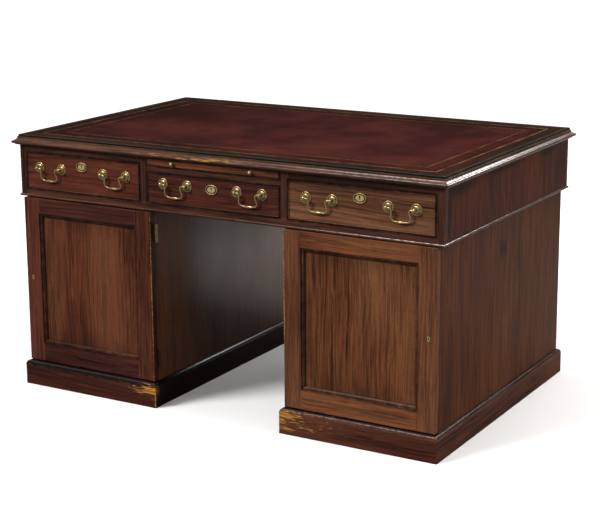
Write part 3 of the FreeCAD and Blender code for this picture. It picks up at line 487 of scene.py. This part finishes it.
# Below this height the hinge brass is painted all brown, which darkens the foot hinges.
FOOT_HINGE_BELOW = 0.3
hinge_brass = aged_brass("hinge_brass", polish=0.3, tarnished=0.3, bright=0.5,
                         brown_below=FOOT_HINGE_BELOW)
lock_brass = aged_brass("door_lock_brass", polish=0.3, tarnished=0.1, bright=0.4)
for side in SIDES:
    stile_low, stile_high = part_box(side + "_door_stiles")
    inset = Vector((STILE_WIDTH, 0.0, FOOT_RAIL))
    sight_low = stile_low + inset
    sight_high = stile_high - Vector((STILE_WIDTH, 0.0, TOP_RAIL))
    sight = ((sight_low + sight_high) / 2, sight_high - sight_low)
    hung_x = stile_high.x if side == "left" else stile_low.x
    hung_arris = ((hung_x, stile_low.y, sight[0].z), (0.003, 0.003, 0.45), 0.7, 4.5)
    stile_wood = mahogany(side + "_door_stile_wood", grain="Z", tone=STILE_TONE_AND_LIGHT[side],
                          dirt_and_shadow_lines=[sight + FRAME_LINE], bare=[hung_arris])
    rail_wood = mahogany(side + "_door_rail_wood", grain="X", tone=RAIL_TONE_AND_LIGHT[side],
                         dirt_and_shadow_lines=[sight + FRAME_LINE])
    panel_wood = mahogany(side + "_door_panel_wood", grain="Z", tone=PANEL_TONE_AND_LIGHT[side], bleaching=0.6,
                          dirt_and_shadow_lines=[sight + PANEL_LINE, sight + PANEL_SHADE])
    finish_node(side + "_door_stiles", stile_wood)
    finish_node(side + "_door_rails", rail_wood)
    finish_node(side + "_door_panel", panel_wood)
    finish_node(side + "_door_hinge_leaves", hinge_brass)
    finish_node(side + "_door_lock", lock_brass)
    finish_node(side + "_door_lock_bolt", lock_brass)
    ease_arrises(side + "_door_stiles", STILE_ARRIS)
    ease_arrises(side + "_door_rails", RAIL_ARRIS)
finish_node("pedestal_door_fittings", hinge_brass)


# Hinge screws: slotted countersunk brass screws, three through each leaf, turned home until their heads
# stand a hair proud of the leaf.
SCREW_RADIUS = 0.0034
SCREW_PROUD = 0.0001
SCREW_DEPTH = 0.0012
SLOT_HALF_WIDTH = 0.0004
SLOT_DEPTH = 0.0007
SCREW_SPREAD = 0.018
SCREW_OFF_MIDDLE = 0.2345
HINGE_HALF_LENGTH = 0.027
LEAF_PLAY = 0.00015
SLOT_TURN = 0.4
SLOT_TURN_STEP = 0.7


def select_faces(piece, test):
    """Selects the faces of a piece in edit mode whose middle and normal pass a test."""
    bpy.ops.object.mode_set(mode="OBJECT")
    for part in (piece.data.vertices, piece.data.edges):
        part.foreach_set("select", [False] * len(part))
    for face in piece.data.polygons:
        face.select = test(face.center, face.normal)
    bpy.ops.object.mode_set(mode="EDIT")
    bpy.ops.mesh.select_mode(type="FACE")


bpy.ops.object.select_all(action="DESELECT")
bpy.ops.mesh.primitive_cylinder_add(vertices=20, radius=SCREW_RADIUS, depth=SCREW_DEPTH)
screw = bpy.context.object
bpy.ops.object.mode_set(mode="EDIT")
bpy.ops.transform.translate(value=(0.0, 0.0, -SCREW_DEPTH / 2))
for cut in (-SLOT_HALF_WIDTH, SLOT_HALF_WIDTH):
    bpy.ops.mesh.select_all(action="SELECT")
    bpy.ops.mesh.bisect(plane_co=(cut, 0.0, 0.0), plane_no=(1.0, 0.0, 0.0))
select_faces(screw, lambda middle, normal: normal.z > 0.9 and abs(middle.x) < SLOT_HALF_WIDTH)
bpy.ops.mesh.extrude_region_move(TRANSFORM_OT_translate={"value": (0.0, 0.0, -SLOT_DEPTH)})
select_faces(screw, lambda middle, normal: normal.z < -0.9 and middle.z < -0.9 * SCREW_DEPTH)
bpy.ops.transform.resize(value=(0.5, 0.5, 1.0))
bpy.ops.object.mode_set(mode="OBJECT")
screw.data.materials.append(lock_brass)


def copy_piece(source, name, place):
    """A copy of a piece with a mesh of its own, placed by a matrix that goes into the mesh."""
    made = bpy.data.objects.new(name, source.data.copy())
    bpy.context.scene.collection.objects.link(made)
    made.data.transform(place)
    return made


for side in SIDES:
    leaf_low, leaf_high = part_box(side + "_door_hinge_leaves")
    screw_x = math.copysign(SCREW_OFF_MIDDLE, leaf_low.x)
    parting = (leaf_low.y + leaf_high.y) / 2
    levels = (("foot", leaf_low.z + HINGE_HALF_LENGTH), ("top", leaf_high.z - HINGE_HALF_LENGTH))
    leaves = (("door", side + "_door", -math.pi / 2, -1), ("pedestal", "desk", math.pi / 2, 1))
    for owner, body, turn, stand in leaves:
        face_y = parting + stand * (LEAF_PLAY - SCREW_PROUD)
        for hinge, middle_z in levels:
            for step in (-1, 0, 1):
                seat = Matrix.Translation((screw_x, face_y, middle_z + step * SCREW_SPREAD))
                twist = Matrix.Rotation(SLOT_TURN + SLOT_TURN_STEP * step, 4, "Z")
                place = seat @ Matrix.Rotation(turn, 4, "X") @ twist
                set_screw = copy_piece(screw, f"{side}_{owner}_{hinge}_hinge_screw_{step + 2}", place)
                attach(set_screw, body)
bpy.data.objects.remove(screw)


# Frieze: solid ends with upright grain, a plain back, and a face frame of rails and uprights round the
# drawers. A mitred half-round bead is planted round its foot. Partitions and runners inside are plain
# unpolished wood.
BAYS = ("left", "centre", "right")
FRAME_TONE = (0.58, 0.58, 0.74)
OPENING_LINE = (0.009, 1.0)
# Dark smudges on the frieze ends, with painted shade under the moulding and along the front edge.
END_SMUDGES_AND_SHADE = [
    ((0.69, -0.34, 0.735), (0.06, 0.15, 0.030), 0.95, 2.2),
    ((0.69, -0.06, 0.74), (0.06, 0.20, 0.016), 0.9, 2.2),
    ((0.69, -0.42, 0.66), (0.06, 0.020, 0.10), 0.95, 2.2),
    ((0.69, 0.27, 0.735), (0.06, 0.10, 0.025), 0.8, 2.2),
]
FRIEZE_END_ARRIS = 0.0008
FRIEZE_FRAME_ARRIS = 0.0006
SIDES_FROM = -0.4
BEAD_POLISH_IOR = 2.2
end_wood = mahogany("frieze_end_wood", grain="Z", tone=(0.54, 0.4, 0.42), dark_spots=END_SMUDGES_AND_SHADE,
                    bleaching=0.1, specular=0.12)
# Grime and painted shadow lines round the drawer and slide openings.
openings = [middle_and_size(bay + "_drawer_front") + OPENING_LINE for bay in BAYS]
openings.append(middle_and_size("slide_board") + OPENING_LINE)
frieze_rail_wood = mahogany("frieze_rail_wood", grain="X", tone=FRAME_TONE, dirt_and_shadow_lines=openings)
upright_wood = mahogany("frieze_upright_wood", grain="Z", tone=FRAME_TONE, dirt_and_shadow_lines=openings)
frieze_back_wood = mahogany("frieze_back_wood", grain="X", tone=(0.9, 0.9, 0.9))


def polish_at_right(tree, place):
    """Thin along the front, where sleeves rub, and thick to the right and round the sides and back."""
    parts = add_node(tree, "SeparateXYZ", {0: place}).outputs
    aside = remap(tree, parts["X"], 0.2, 0.66, 0.12, 1.0)
    behind = math_node(tree, "GREATER_THAN", parts["Y"], SIDES_FROM)
    scuffed = remap(tree, noise(tree, place, 110.0, 3.0), 0.4, 0.56, 0.2, 1.0)
    return math_node(tree, "MULTIPLY", math_node(tree, "MAXIMUM", aside, behind), scuffed)


bead_wood = mahogany("frieze_bead_wood", tone=(0.65, 0.65, 0.7), mitred=middle_and_size("frieze_bead"),
                     rubbing=0.8, polish=polish_at_right, polish_ior=BEAD_POLISH_IOR)
for side in SIDES:
    finish_node("frieze_end_" + side, end_wood)
    ease_arrises("frieze_end_" + side, FRIEZE_END_ARRIS)
finish_node("frieze_back", frieze_back_wood)
finish_node("frieze_rails", frieze_rail_wood)
finish_node("frieze_uprights", upright_wood)
finish_node("frieze_bead", bead_wood)
ease_arrises("frieze_rails", FRIEZE_FRAME_ARRIS)
ease_arrises("frieze_uprights", FRIEZE_FRAME_ARRIS)
UNPOLISHED_DARK = (0.19, 0.105, 0.05, 1.0)
UNPOLISHED_PALE = (0.33, 0.205, 0.105, 1.0)
UNPOLISHED_STREAK = (0.42, 0.28, 0.15, 1.0)
UNPOLISHED_DIRT_AND_SHADE = (0.05, 0.03, 0.018, 1.0)


def unpolished_wood(name, grain):
    """Planed and unpolished wood, browned by age."""
    material = bpy.data.materials.new(name)
    material.use_nodes = True
    tree = material.node_tree
    shader = tree.nodes["Principled BSDF"]
    place = add_node(tree, "TexCoord").outputs["Object"]
    along = add_node(tree, "Mapping", {"Vector": place, "Rotation": GRAIN_TURNS[grain]}).outputs[0]
    figure = place_group(tree, wood_figure, {"Coordinates": along})
    banded = remap(tree, figure["Bands"], 0.3, 0.7)
    colour = mix_colour(tree, banded, UNPOLISHED_DARK, UNPOLISHED_PALE)
    colour = mix_colour(tree, remap(tree, figure["Streaks"], 0.4, 0.8), colour, UNPOLISHED_STREAK)
    # Corners and gaps darken with settled grime and painted shade.
    dirt_and_shade = place_group(tree, dirt_and_shade_darkening, {"Reach": DIRT_AND_SHADE_REACH})["Dirt And Shade"]
    colour = mix_colour(tree, math_node(tree, "MULTIPLY", dirt_and_shade, 0.6), colour, UNPOLISHED_DIRT_AND_SHADE)
    gloss = remap(tree, figure["Mottle"], 0.3, 0.7, 0.6, 0.8)
    height = math_node(tree, "SUBTRACT", figure["Streaks"], figure["Pores"])
    bump = add_node(tree, "Bump", {"Height": height, "Strength": 0.3, "Distance": 0.0005})
    tree.links.new(colour, shader.inputs["Base Color"])
    tree.links.new(gloss, shader.inputs["Roughness"])
    tree.links.new(bump.outputs[0], shader.inputs["Normal"])
    return material


runner_wood = unpolished_wood("runner_wood", "Y")
finish_node("drawer_partitions", runner_wood)
finish_node("drawer_runners", runner_wood)


# Brushing slide: a mahogany board that draws out over the middle drawer, its front edge nosed and
# rubbed pale. Two small turned brass knobs are screwed into the edge.
# A line of grime and painted shadow round the slide.
SLIDE_LINE = (0.002, 0.8)
SLIDE_WEAR = ((-0.05, -0.446, 0.7485), (0.3, 0.012, 0.006), 0.5, 3.0)
slide_wood = mahogany("slide_wood", grain="X", tone=(1.25, 1.15, 1.2), rubbing=0.9,
                      dirt_and_shadow_lines=[middle_and_size("slide_board") + SLIDE_LINE], bare=[SLIDE_WEAR])
knob_brass = aged_brass("knob_brass", polish=0.2, tarnished=0.0, bright=0.35)
finish_node("slide_board", slide_wood)
finish_node("slide_knobs", knob_brass)


# Drawers: mahogany fronts edged with mitred cockbead, lap-dovetailed to thin sides of unpolished wood.
# The backs are through-dovetailed, and the bottoms slide into grooves.
# The drawer fronts differ in tone, and the right one is painted lighter and greyer: painted light and
# sheen.
FRONT_TONE_AND_LIGHT = {"left": (0.8, 0.6, 0.68), "centre": (0.57, 0.45, 0.6), "right": (1.18, 1.4, 1.5)}
# A line of grime and painted shadow round each drawer front.
FRONT_LINE = (0.0025, 0.9)
drawer_side_wood = unpolished_wood("drawer_side_wood", "Y")
drawer_bottom_wood = unpolished_wood("drawer_bottom_wood", "X")
for bay in BAYS:
    front_wood = mahogany(bay + "_drawer_front_wood", grain="X", tone=FRONT_TONE_AND_LIGHT[bay], rubbing=0.8,
                          dirt_and_shadow_lines=[middle_and_size(bay + "_drawer_front") + FRONT_LINE])
    finish_node(bay + "_drawer_front", front_wood)
    finish_node(bay + "_drawer_box", drawer_side_wood)
    finish_node(bay + "_drawer_bottom", drawer_bottom_wood)


# Handles and locks: cast swan-neck bails swing in ball-headed posts through round roses, nutted inside
# the front. Oval plates with roped rims guard the keyholes of let-in drawer locks.
handle_brass = aged_brass("handle_brass", polish=0.2, tarnished=0.3)
rim_brass = aged_brass("roped_rim_brass", polish=0.2, tarnished=0.1, bright=0.5)
for bay in BAYS:
    for fitting in ("handle_posts", "bail_left", "bail_right"):
        finish_node(f"{bay}_drawer_{fitting}", handle_brass)

PLATE_REACH = (0.020, 1.0, 0.0142)
ROPE_RADIUS = 0.0012
ROPE_HALF_WIDTH = 0.0185
ROPE_HALF_HEIGHT = 0.0127
ROPE_STRANDS = 3
ROPE_TURNS = 11
ROPE_STEPS = 132
STRAND_VERTICES = 4
STRAND_QUIRK = 0.62
RIM_BEHIND_BOSS = 0.0006
PLATE_DROP = 0.0285
bpy.ops.object.select_all(action="DESELECT")
bpy.ops.curve.primitive_bezier_circle_add(radius=1.0)
oval = bpy.context.object
oval.data.resolution_u = 48
bpy.ops.object.mode_set(mode="EDIT")
bpy.ops.transform.resize(value=(ROPE_HALF_WIDTH, ROPE_HALF_HEIGHT, 1.0))
bpy.ops.object.mode_set(mode="OBJECT")
rope_length = oval.data.splines[0].calc_length()
bpy.ops.object.select_all(action="DESELECT")
bpy.ops.mesh.primitive_circle_add(vertices=STRAND_VERTICES * ROPE_STRANDS, radius=ROPE_RADIUS,
                                  fill_type="NOTHING")
rope = bpy.context.object
bpy.ops.object.mode_set(mode="EDIT")
bpy.ops.mesh.select_all(action="SELECT")
bpy.ops.transform.rotate(value=math.pi / 2, orient_axis="Y", center_override=(0.0, 0.0, 0.0))
bpy.ops.mesh.select_mode(type="VERT")
bpy.ops.mesh.select_all(action="DESELECT")
bpy.ops.object.mode_set(mode="OBJECT")
for index, point in enumerate(rope.data.vertices):
    point.select = index % STRAND_VERTICES == 0
bpy.ops.object.mode_set(mode="EDIT")
bpy.ops.transform.resize(value=(1.0, STRAND_QUIRK, STRAND_QUIRK))
bpy.ops.object.mode_set(mode="OBJECT")
laid = rope.modifiers.new("laid strands", "SCREW")
laid.axis = "X"
laid.angle = 2 * math.pi * ROPE_TURNS
laid.screw_offset = rope_length
laid.steps = ROPE_STEPS
laid.render_steps = ROPE_STEPS
round_plate = rope.modifiers.new("round the plate", "CURVE")
round_plate.object = oval
for modifier in ("laid strands", "round the plate"):
    bpy.ops.object.modifier_apply(modifier=modifier)
bpy.ops.object.mode_set(mode="EDIT")
bpy.ops.mesh.select_all(action="SELECT")
bpy.ops.mesh.remove_doubles(threshold=0.0002)
bpy.ops.mesh.normals_make_consistent(inside=False)
bpy.ops.object.mode_set(mode="OBJECT")
bpy.ops.object.shade_smooth()
rope.data.materials.append(rim_brass)
for bay in BAYS:
    lock_low, lock_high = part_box(bay + "_drawer_lock")
    lock_x = (lock_low.x + lock_high.x) / 2
    seat = Vector((lock_x, lock_low.y + RIM_BEHIND_BOSS, lock_high.z - PLATE_DROP))
    upright = Matrix.Translation(seat) @ Matrix.Rotation(math.pi / 2, 4, "X")
    rim = copy_piece(rope, bay + "_drawer_roped_rim", upright)
    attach(rim, bay + "_drawer")
    plate_brass = aged_brass(bay + "_lock_plate_brass", polish=0.24, tarnished=0.15, bright=0.5,
                             groove=(seat, PLATE_REACH))
    finish_node(bay + "_drawer_lock", plate_brass)
    finish_node(bay + "_drawer_lock_bolt", plate_brass)
bpy.data.objects.remove(rope)
bpy.data.objects.remove(oval)


# Top: a mahogany board with a plain border round the lining, edged by four mitred lengths of moulding,
# a shallow cove over a rounded nose, glued on and polished with it.
SLEEVE_WEAR = ((-0.05, -0.463, 0.762), (0.42, 0.03, 0.014), 0.35, 3.2)
border_wood = mahogany("top_border_wood", tone=(0.38, 0.34, 0.4), mitred=middle_and_size("top_board"),
                       specular=0.1)
moulding_wood = mahogany("top_moulding_wood", tone=(0.7, 0.74, 0.8),
                         mitred=middle_and_size("top_edge_moulding"), bare=[SLEEVE_WEAR], rubbing=0.8,
                         polish=polish_at_right)
finish_node("top_board", border_wood)
finish_node("top_edge_moulding", moulding_wood)


# Lining: one dyed hide glued into the top and tooled with two gilt border lines, worn thin by use.
# The outer line is a run of small stamped dots, and the inner one a plain fillet.
leather_low, leather_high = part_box("leather_writing_surface")
PRESSED_DOWN = 0.0003
LINE_DEPTH = 0.00025
LINE_SLOPE = 0.0004
OUTER_LINE_INSET = 0.008
OUTER_LINE_WIDTH = 0.007
INNER_LINE_INSET = 0.060
INNER_LINE_WIDTH = 0.003
lining_top = leather_high.z - PRESSED_DOWN
bpy.ops.object.select_all(action="DESELECT")
bpy.ops.mesh.primitive_cube_add(size=1.0)
lining = bpy.context.object
lining.name = "leather_lining"
bpy.ops.object.mode_set(mode="EDIT")
lining_size = (leather_high.x - leather_low.x, leather_high.y - leather_low.y, lining_top - leather_low.z)
bpy.ops.transform.resize(value=lining_size)
bpy.ops.transform.translate(value=(0.0, 0.0, (lining_top + leather_low.z) / 2))
select_faces(lining, lambda middle, normal: normal.z > 0.9)
between_lines = INNER_LINE_INSET - OUTER_LINE_INSET - OUTER_LINE_WIDTH
for step in (OUTER_LINE_INSET, OUTER_LINE_WIDTH, between_lines, INNER_LINE_WIDTH):
    bpy.ops.mesh.inset(thickness=step, depth=0.0)


def in_from_edge(point):
    return min(leather_high.x - abs(point.x), leather_high.y - abs(point.y))


def on_line(middle, normal):
    inset = in_from_edge(middle)
    outer = OUTER_LINE_INSET < inset < OUTER_LINE_INSET + OUTER_LINE_WIDTH
    inner = INNER_LINE_INSET < inset < INNER_LINE_INSET + INNER_LINE_WIDTH
    return normal.z > 0.9 and (outer or inner)


select_faces(lining, on_line)
bpy.ops.mesh.inset(thickness=LINE_SLOPE, depth=-LINE_DEPTH)
bpy.ops.object.mode_set(mode="OBJECT")


HIDE_DARK = (0.060, 0.0128, 0.0112, 1.0)
HIDE_RED = (0.122, 0.0265, 0.0200, 1.0)
HIDE_STAIN = (0.033, 0.0100, 0.0092, 1.0)
GILT = (0.36, 0.22, 0.075, 1.0)
LOST_GILT = (0.04, 0.015, 0.010, 1.0)
TOWARDS_FRONT = (0.5, -0.85, 0.0)
SOILED_MARGIN = 1.4 * INNER_LINE_INSET


def tooled_hide():
    material = bpy.data.materials.new("tooled_hide")
    material.use_nodes = True
    tree = material.node_tree
    shader = tree.nodes["Principled BSDF"]
    place = add_node(tree, "TexCoord").outputs["Object"]
    cloud = noise(tree, place, 4.0, 6.0)
    stain = noise(tree, place, 15.0, 5.0)
    pebble = add_node(tree, "TexVoronoi", {"Vector": place, "Scale": 900.0}, feature="SMOOTH_F1")
    dyed = remap(tree, cloud, 0.38, 0.62)
    colour = mix_colour(tree, dyed, HIDE_DARK, HIDE_RED)
    colour = mix_colour(tree, remap(tree, stain, 0.48, 0.75, 0.0, 0.75), colour, HIDE_STAIN)
    # The hide is painted darker towards the back left and lighter towards the front right.
    nearer = vector_node(tree, "DOT_PRODUCT", place, TOWARDS_FRONT)["Value"]
    colour = vector_node(tree, "MULTIPLY", colour, remap(tree, nearer, -0.55, 0.5, 0.55, 1.1))[0]
    from_edge = vector_node(tree, "SUBTRACT", leather_high, vector_node(tree, "ABSOLUTE", place)[0])[0]
    from_edge = add_node(tree, "SeparateXYZ", {0: from_edge}).outputs
    inset = math_node(tree, "MINIMUM", from_edge["X"], from_edge["Y"])
    margin = remap(tree, inset, 0.0, SOILED_MARGIN, 0.6, 1.0)
    colour = vector_node(tree, "MULTIPLY", colour, margin)[0]
    bump = add_node(tree, "Bump", {"Height": pebble.outputs[0], "Strength": 0.06, "Distance": 0.0004})
    tree.links.new(colour, shader.inputs["Base Color"])
    tree.links.new(remap(tree, stain, 0.3, 0.7, 0.5, 0.66), shader.inputs["Roughness"])
    tree.links.new(bump.outputs[0], shader.inputs["Normal"])
    shader.inputs["Specular IOR Level"].default_value = 0.0
    return material


def worn_gilt(name, dotted):
    material = bpy.data.materials.new(name)
    material.use_nodes = True
    tree = material.node_tree
    shader = tree.nodes["Principled BSDF"]
    place = add_node(tree, "TexCoord").outputs["Object"]
    leaf = remap(tree, noise(tree, place, 22.0, 6.0), 0.34, 0.58)
    if dotted:
        stamps = add_node(tree, "TexVoronoi", {"Vector": place, "Scale": 240.0}).outputs[0]
        leaf = math_node(tree, "MULTIPLY", leaf, remap(tree, stamps, 0.4, 0.65, 1.0, 0.2))
    colour = mix_colour(tree, leaf, LOST_GILT, GILT)
    tree.links.new(colour, shader.inputs["Base Color"])
    tree.links.new(math_node(tree, "MULTIPLY", leaf, 0.15), shader.inputs["Metallic"])
    tree.links.new(remap(tree, leaf, 0.0, 1.0, 0.55, 0.42), shader.inputs["Roughness"])
    shader.inputs["Specular IOR Level"].default_value = 0.2
    return material


lining.data.materials.append(tooled_hide())
lining.data.materials.append(worn_gilt("gilt_dots", True))
lining.data.materials.append(worn_gilt("gilt_fillet", False))
for face in lining.data.polygons:
    if on_line(face.center, face.normal):
        face.material_index = 1 if in_from_edge(face.center) < INNER_LINE_INSET else 2
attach(lining, "desk")
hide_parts("leather_writing_surface")


# Glass: a loose sheet of plate glass that covers the top, with rounded corners and ground and polished
# edges. Its edge looks dark green because the light there has come through the width of the sheet.
glass_low, glass_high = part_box("glass_sheet")
AIR_GAP = 0.00015
GLASS_CORNER = 0.005
GLASS_ARRIS = 0.0011
glass_foot = glass_low.z + AIR_GAP
bpy.ops.object.select_all(action="DESELECT")
bpy.ops.mesh.primitive_cube_add(size=1.0)
glass = bpy.context.object
glass.name = "plate_glass_sheet"
bpy.ops.object.mode_set(mode="EDIT")
sheet_size = (glass_high.x - glass_low.x, glass_high.y - glass_low.y, glass_high.z - glass_foot)
bpy.ops.transform.resize(value=sheet_size)
bpy.ops.transform.translate(value=(0.0, 0.0, (glass_high.z + glass_foot) / 2))


def select_edges(piece, test):
    """Selects the edges of a piece in edit mode whose two ends pass a test."""
    bpy.ops.object.mode_set(mode="OBJECT")
    points = piece.data.vertices
    for part in (points, piece.data.polygons):
        part.foreach_set("select", [False] * len(part))
    for edge in piece.data.edges:
        edge.select = test(points[edge.vertices[0]].co, points[edge.vertices[1]].co)
    bpy.ops.object.mode_set(mode="EDIT")


bpy.ops.mesh.select_mode(type="EDGE")
select_edges(glass, lambda a, b: abs(a.z - b.z) > sheet_size[2] / 2)
bpy.ops.mesh.bevel(offset=GLASS_CORNER, segments=6)
for level in (glass_foot, glass_high.z):
    select_edges(glass, lambda a, b: abs(a.z - level) < 1e-5 and abs(b.z - level) < 1e-5)
    bpy.ops.mesh.bevel(offset=GLASS_ARRIS, segments=1)
bpy.ops.object.mode_set(mode="OBJECT")


CLEAR_TINT = (0.95, 0.98, 0.96, 1.0)
LIGHT_TINT = (0.93, 0.96, 0.945, 1.0)
EDGE_DEEP = (0.001, 0.008, 0.005, 1.0)
EDGE_GREEN = (0.003, 0.03, 0.017, 1.0)
PLATE_IOR = 1.5
MIRRORS_FROM = 0.55
MIRRORS_FULLY = 0.72


def clear_plate():
    """Clear glass that mirrors only where it is seen at a slant, and lets light straight through."""
    material = bpy.data.materials.new("clear_plate_glass")
    material.use_nodes = True
    tree = material.node_tree
    shader = tree.nodes["Principled BSDF"]
    place = add_node(tree, "TexCoord").outputs["Object"]
    smears = remap(tree, noise(tree, place, 9.0, 6.0), 0.45, 0.75, 0.0, 0.05)
    tree.links.new(smears, shader.inputs["Roughness"])
    shader.inputs["Base Color"].default_value = CLEAR_TINT
    shader.inputs["Transmission Weight"].default_value = 1.0
    shader.inputs["IOR"].default_value = PLATE_IOR
    light = add_node(tree, "LightPath").outputs["Is Shadow Ray"]
    slant = add_node(tree, "LayerWeight", {"Blend": 0.5}).outputs["Facing"]
    steep = remap(tree, slant, MIRRORS_FROM, MIRRORS_FULLY, 1.0, 0.0)
    unmirrored = math_node(tree, "MAXIMUM", light, steep)
    through = add_node(tree, "BsdfTransparent", {"Color": LIGHT_TINT}).outputs[0]
    either = add_node(tree, "MixShader", {0: unmirrored, 1: shader.outputs[0], 2: through})
    tree.links.new(either.outputs[0], tree.nodes["Material Output"].inputs["Surface"])
    return material


def green_edge():
    material = bpy.data.materials.new("green_glass_edge")
    material.use_nodes = True
    tree = material.node_tree
    shader = tree.nodes["Principled BSDF"]
    place = add_node(tree, "TexCoord").outputs["Object"]
    depth = noise(tree, place, 14.0, 4.0)
    colour = mix_colour(tree, depth, EDGE_DEEP, EDGE_GREEN)
    tree.links.new(colour, shader.inputs["Base Color"])
    tree.links.new(remap(tree, depth, 0.3, 0.7, 0.04, 0.14), shader.inputs["Roughness"])
    shader.inputs["Specular IOR Level"].default_value = 0.35
    return material


glass.data.materials.append(clear_plate())
glass.data.materials.append(green_edge())
for face in glass.data.polygons:
    face.material_index = 1 if abs(face.normal.z) < 0.9 else 0
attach(glass, "desk")
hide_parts("glass_sheet")


# Studio: a pale seamless floor, a soft key from the front left, fills from the right and behind, lamps
# that show only as highlights, and one that lights only the sides of the left pedestal. The camera
# stands to the right of the desk, a little above it.
FLOOR_SIZE = 80.0
PAPER_DARK = (0.95, 0.95, 0.95, 1.0)
PAPER_PALE = (0.97, 0.97, 0.97, 1.0)
DIM_BOUNCE = (0.12, 0.12, 0.12, 1.0)
BRIGHT_BOUNCE = (0.66, 0.6, 0.56, 1.0)
DOME_FOOT = (0.012, 0.012, 0.013, 1.0)
DOME_TOP = (1.13, 1.09, 1.05, 1.0)
BACKDROP = (0.97, 0.97, 0.97, 1.0)
bpy.ops.object.select_all(action="DESELECT")
bpy.ops.mesh.primitive_plane_add(size=FLOOR_SIZE)
floor = bpy.context.object
floor.name = "studio_floor"
floor_paper = bpy.data.materials.new("floor_paper")
floor_paper.use_nodes = True
floor_tree = floor_paper.node_tree
paper_place = add_node(floor_tree, "TexCoord").outputs["Object"]
paper_tone = noise(floor_tree, paper_place, 0.6, 2.0)
paper_colour = mix_colour(floor_tree, paper_tone, PAPER_DARK, PAPER_PALE)
paper_parts = add_node(floor_tree, "SeparateXYZ", {0: paper_place}).outputs
behind_desk = remap(floor_tree, paper_parts["Y"], 0.5, 0.9)
left_of_end = remap(floor_tree, paper_parts["X"], 1.0, 0.6)
bright_behind = math_node(floor_tree, "MULTIPLY", behind_desk, left_of_end)
thrown_back = mix_colour(floor_tree, bright_behind, DIM_BOUNCE, BRIGHT_BOUNCE)
looked_at = add_node(floor_tree, "LightPath").outputs["Is Camera Ray"]
paper_colour = mix_colour(floor_tree, looked_at, thrown_back, paper_colour)
floor_tree.links.new(paper_colour, floor_tree.nodes["Principled BSDF"].inputs["Base Color"])
floor_tree.nodes["Principled BSDF"].inputs["Roughness"].default_value = 0.9
floor.data.materials.append(floor_paper)

world = bpy.data.worlds.new("studio")
bpy.context.scene.world = world
world.use_nodes = True
world.cycles_visibility.transmission = False
sky = world.node_tree
direction = add_node(sky, "TexCoord").outputs["Generated"]
upward = add_node(sky, "SeparateXYZ", {0: direction}).outputs["Z"]
dome = add_node(sky, "ValToRGB", {"Fac": upward})
dome.color_ramp.elements[0].position = 0.42
dome.color_ramp.elements[0].color = DOME_FOOT
dome.color_ramp.elements[1].position = 0.85
dome.color_ramp.elements[1].color = DOME_TOP
seen = add_node(sky, "LightPath").outputs["Is Camera Ray"]
backdrop = mix_colour(sky, seen, dome.outputs[0], BACKDROP)
sky.links.new(backdrop, sky.nodes["Background"].inputs["Color"])

glare_free = bpy.data.collections.new("glare_free")
glare_free.objects.link(glass)
for member in glare_free.collection_objects:
    member.light_linking.link_state = "EXCLUDE"


def studio_light(name, kind, energy, place, aim, shines, size=None, spread=None):
    """A lamp that shines as SOFT light on surfaces or as a HIGHLIGHT in polish and brass, and doesn't
    shine on the glass."""
    data = bpy.data.lights.new(name, kind)
    data.energy = energy
    if size:
        data.shape = "RECTANGLE"
        data.size, data.size_y = size
    if spread:
        data.angle = spread
    light = bpy.data.objects.new(name, data)
    bpy.context.scene.collection.objects.link(light)
    light.location = place
    light.rotation_euler = (Vector(aim) - Vector(place)).to_track_quat("-Z", "Y").to_euler()
    light.visible_glossy = shines == "HIGHLIGHT"
    light.visible_transmission = False
    light.visible_diffuse = shines == "SOFT"
    light.light_linking.receiver_collection = glare_free
    return light


studio_light("front_key", "SUN", 3.6, (-4.0, -5.2, 5.2), (0.0, 0.0, 0.4), "SOFT",
             spread=math.radians(24))
studio_light("right_fill", "AREA", 170.0, (5.0, 0.2, 2.7), (0.6, 0.0, 0.4), "SOFT", size=(2.0, 2.0))
kneehole_fill = studio_light("kneehole_fill", "AREA", 34.0, (3.1, -1.6, 1.2), (-0.22, -0.36, 0.4),
                             "SOFT", size=(1.5, 0.8))
kneehole_face = bpy.data.collections.new("kneehole_face")
kneehole_face.objects.link(nodes["left_pedestal_sides"])
kneehole_fill.light_linking.receiver_collection = kneehole_face
studio_light("back_fill", "AREA", 38.0, (1.1, 2.6, 2.25), (0.6, 0.0, 0.76), "SOFT", size=(2.2, 1.0))
studio_light("back_strip", "AREA", 44.0, (1.1, 2.6, 2.3), (0.6, 0.0, 0.76), "HIGHLIGHT", size=(2.2, 0.5))
studio_light("top_card", "AREA", 40.0, (-0.65, -1.35, 3.0), (0.2, -0.4, 0.5), "HIGHLIGHT",
             size=(1.4, 1.0))

CAMERA_PLACE = (2.3511, -4.00905, 1.54179)
CAMERA_YAW = 0.528
CAMERA_PITCH = -0.2216
CAMERA_ROLL = -0.006
FOCAL_PIXELS = 1549.64
PHOTO_WIDTH = 600
FRAMING_SHIFT = -0.05
camera_data = bpy.data.cameras.new("camera")
camera_data.sensor_width = 36.0
camera_data.lens = camera_data.sensor_width * FOCAL_PIXELS / PHOTO_WIDTH
camera_data.shift_y = FRAMING_SHIFT
camera = bpy.data.objects.new("camera", camera_data)
bpy.context.scene.collection.objects.link(camera)
aim = Matrix.Rotation(CAMERA_YAW, 4, "Z") @ Matrix.Rotation(math.pi / 2 + CAMERA_PITCH, 4, "X")
camera.matrix_world = Matrix.Translation(CAMERA_PLACE) @ aim @ Matrix.Rotation(CAMERA_ROLL, 4, "Z")
bpy.context.scene.camera = camera
bpy.context.scene.view_settings.view_transform = "Standard"
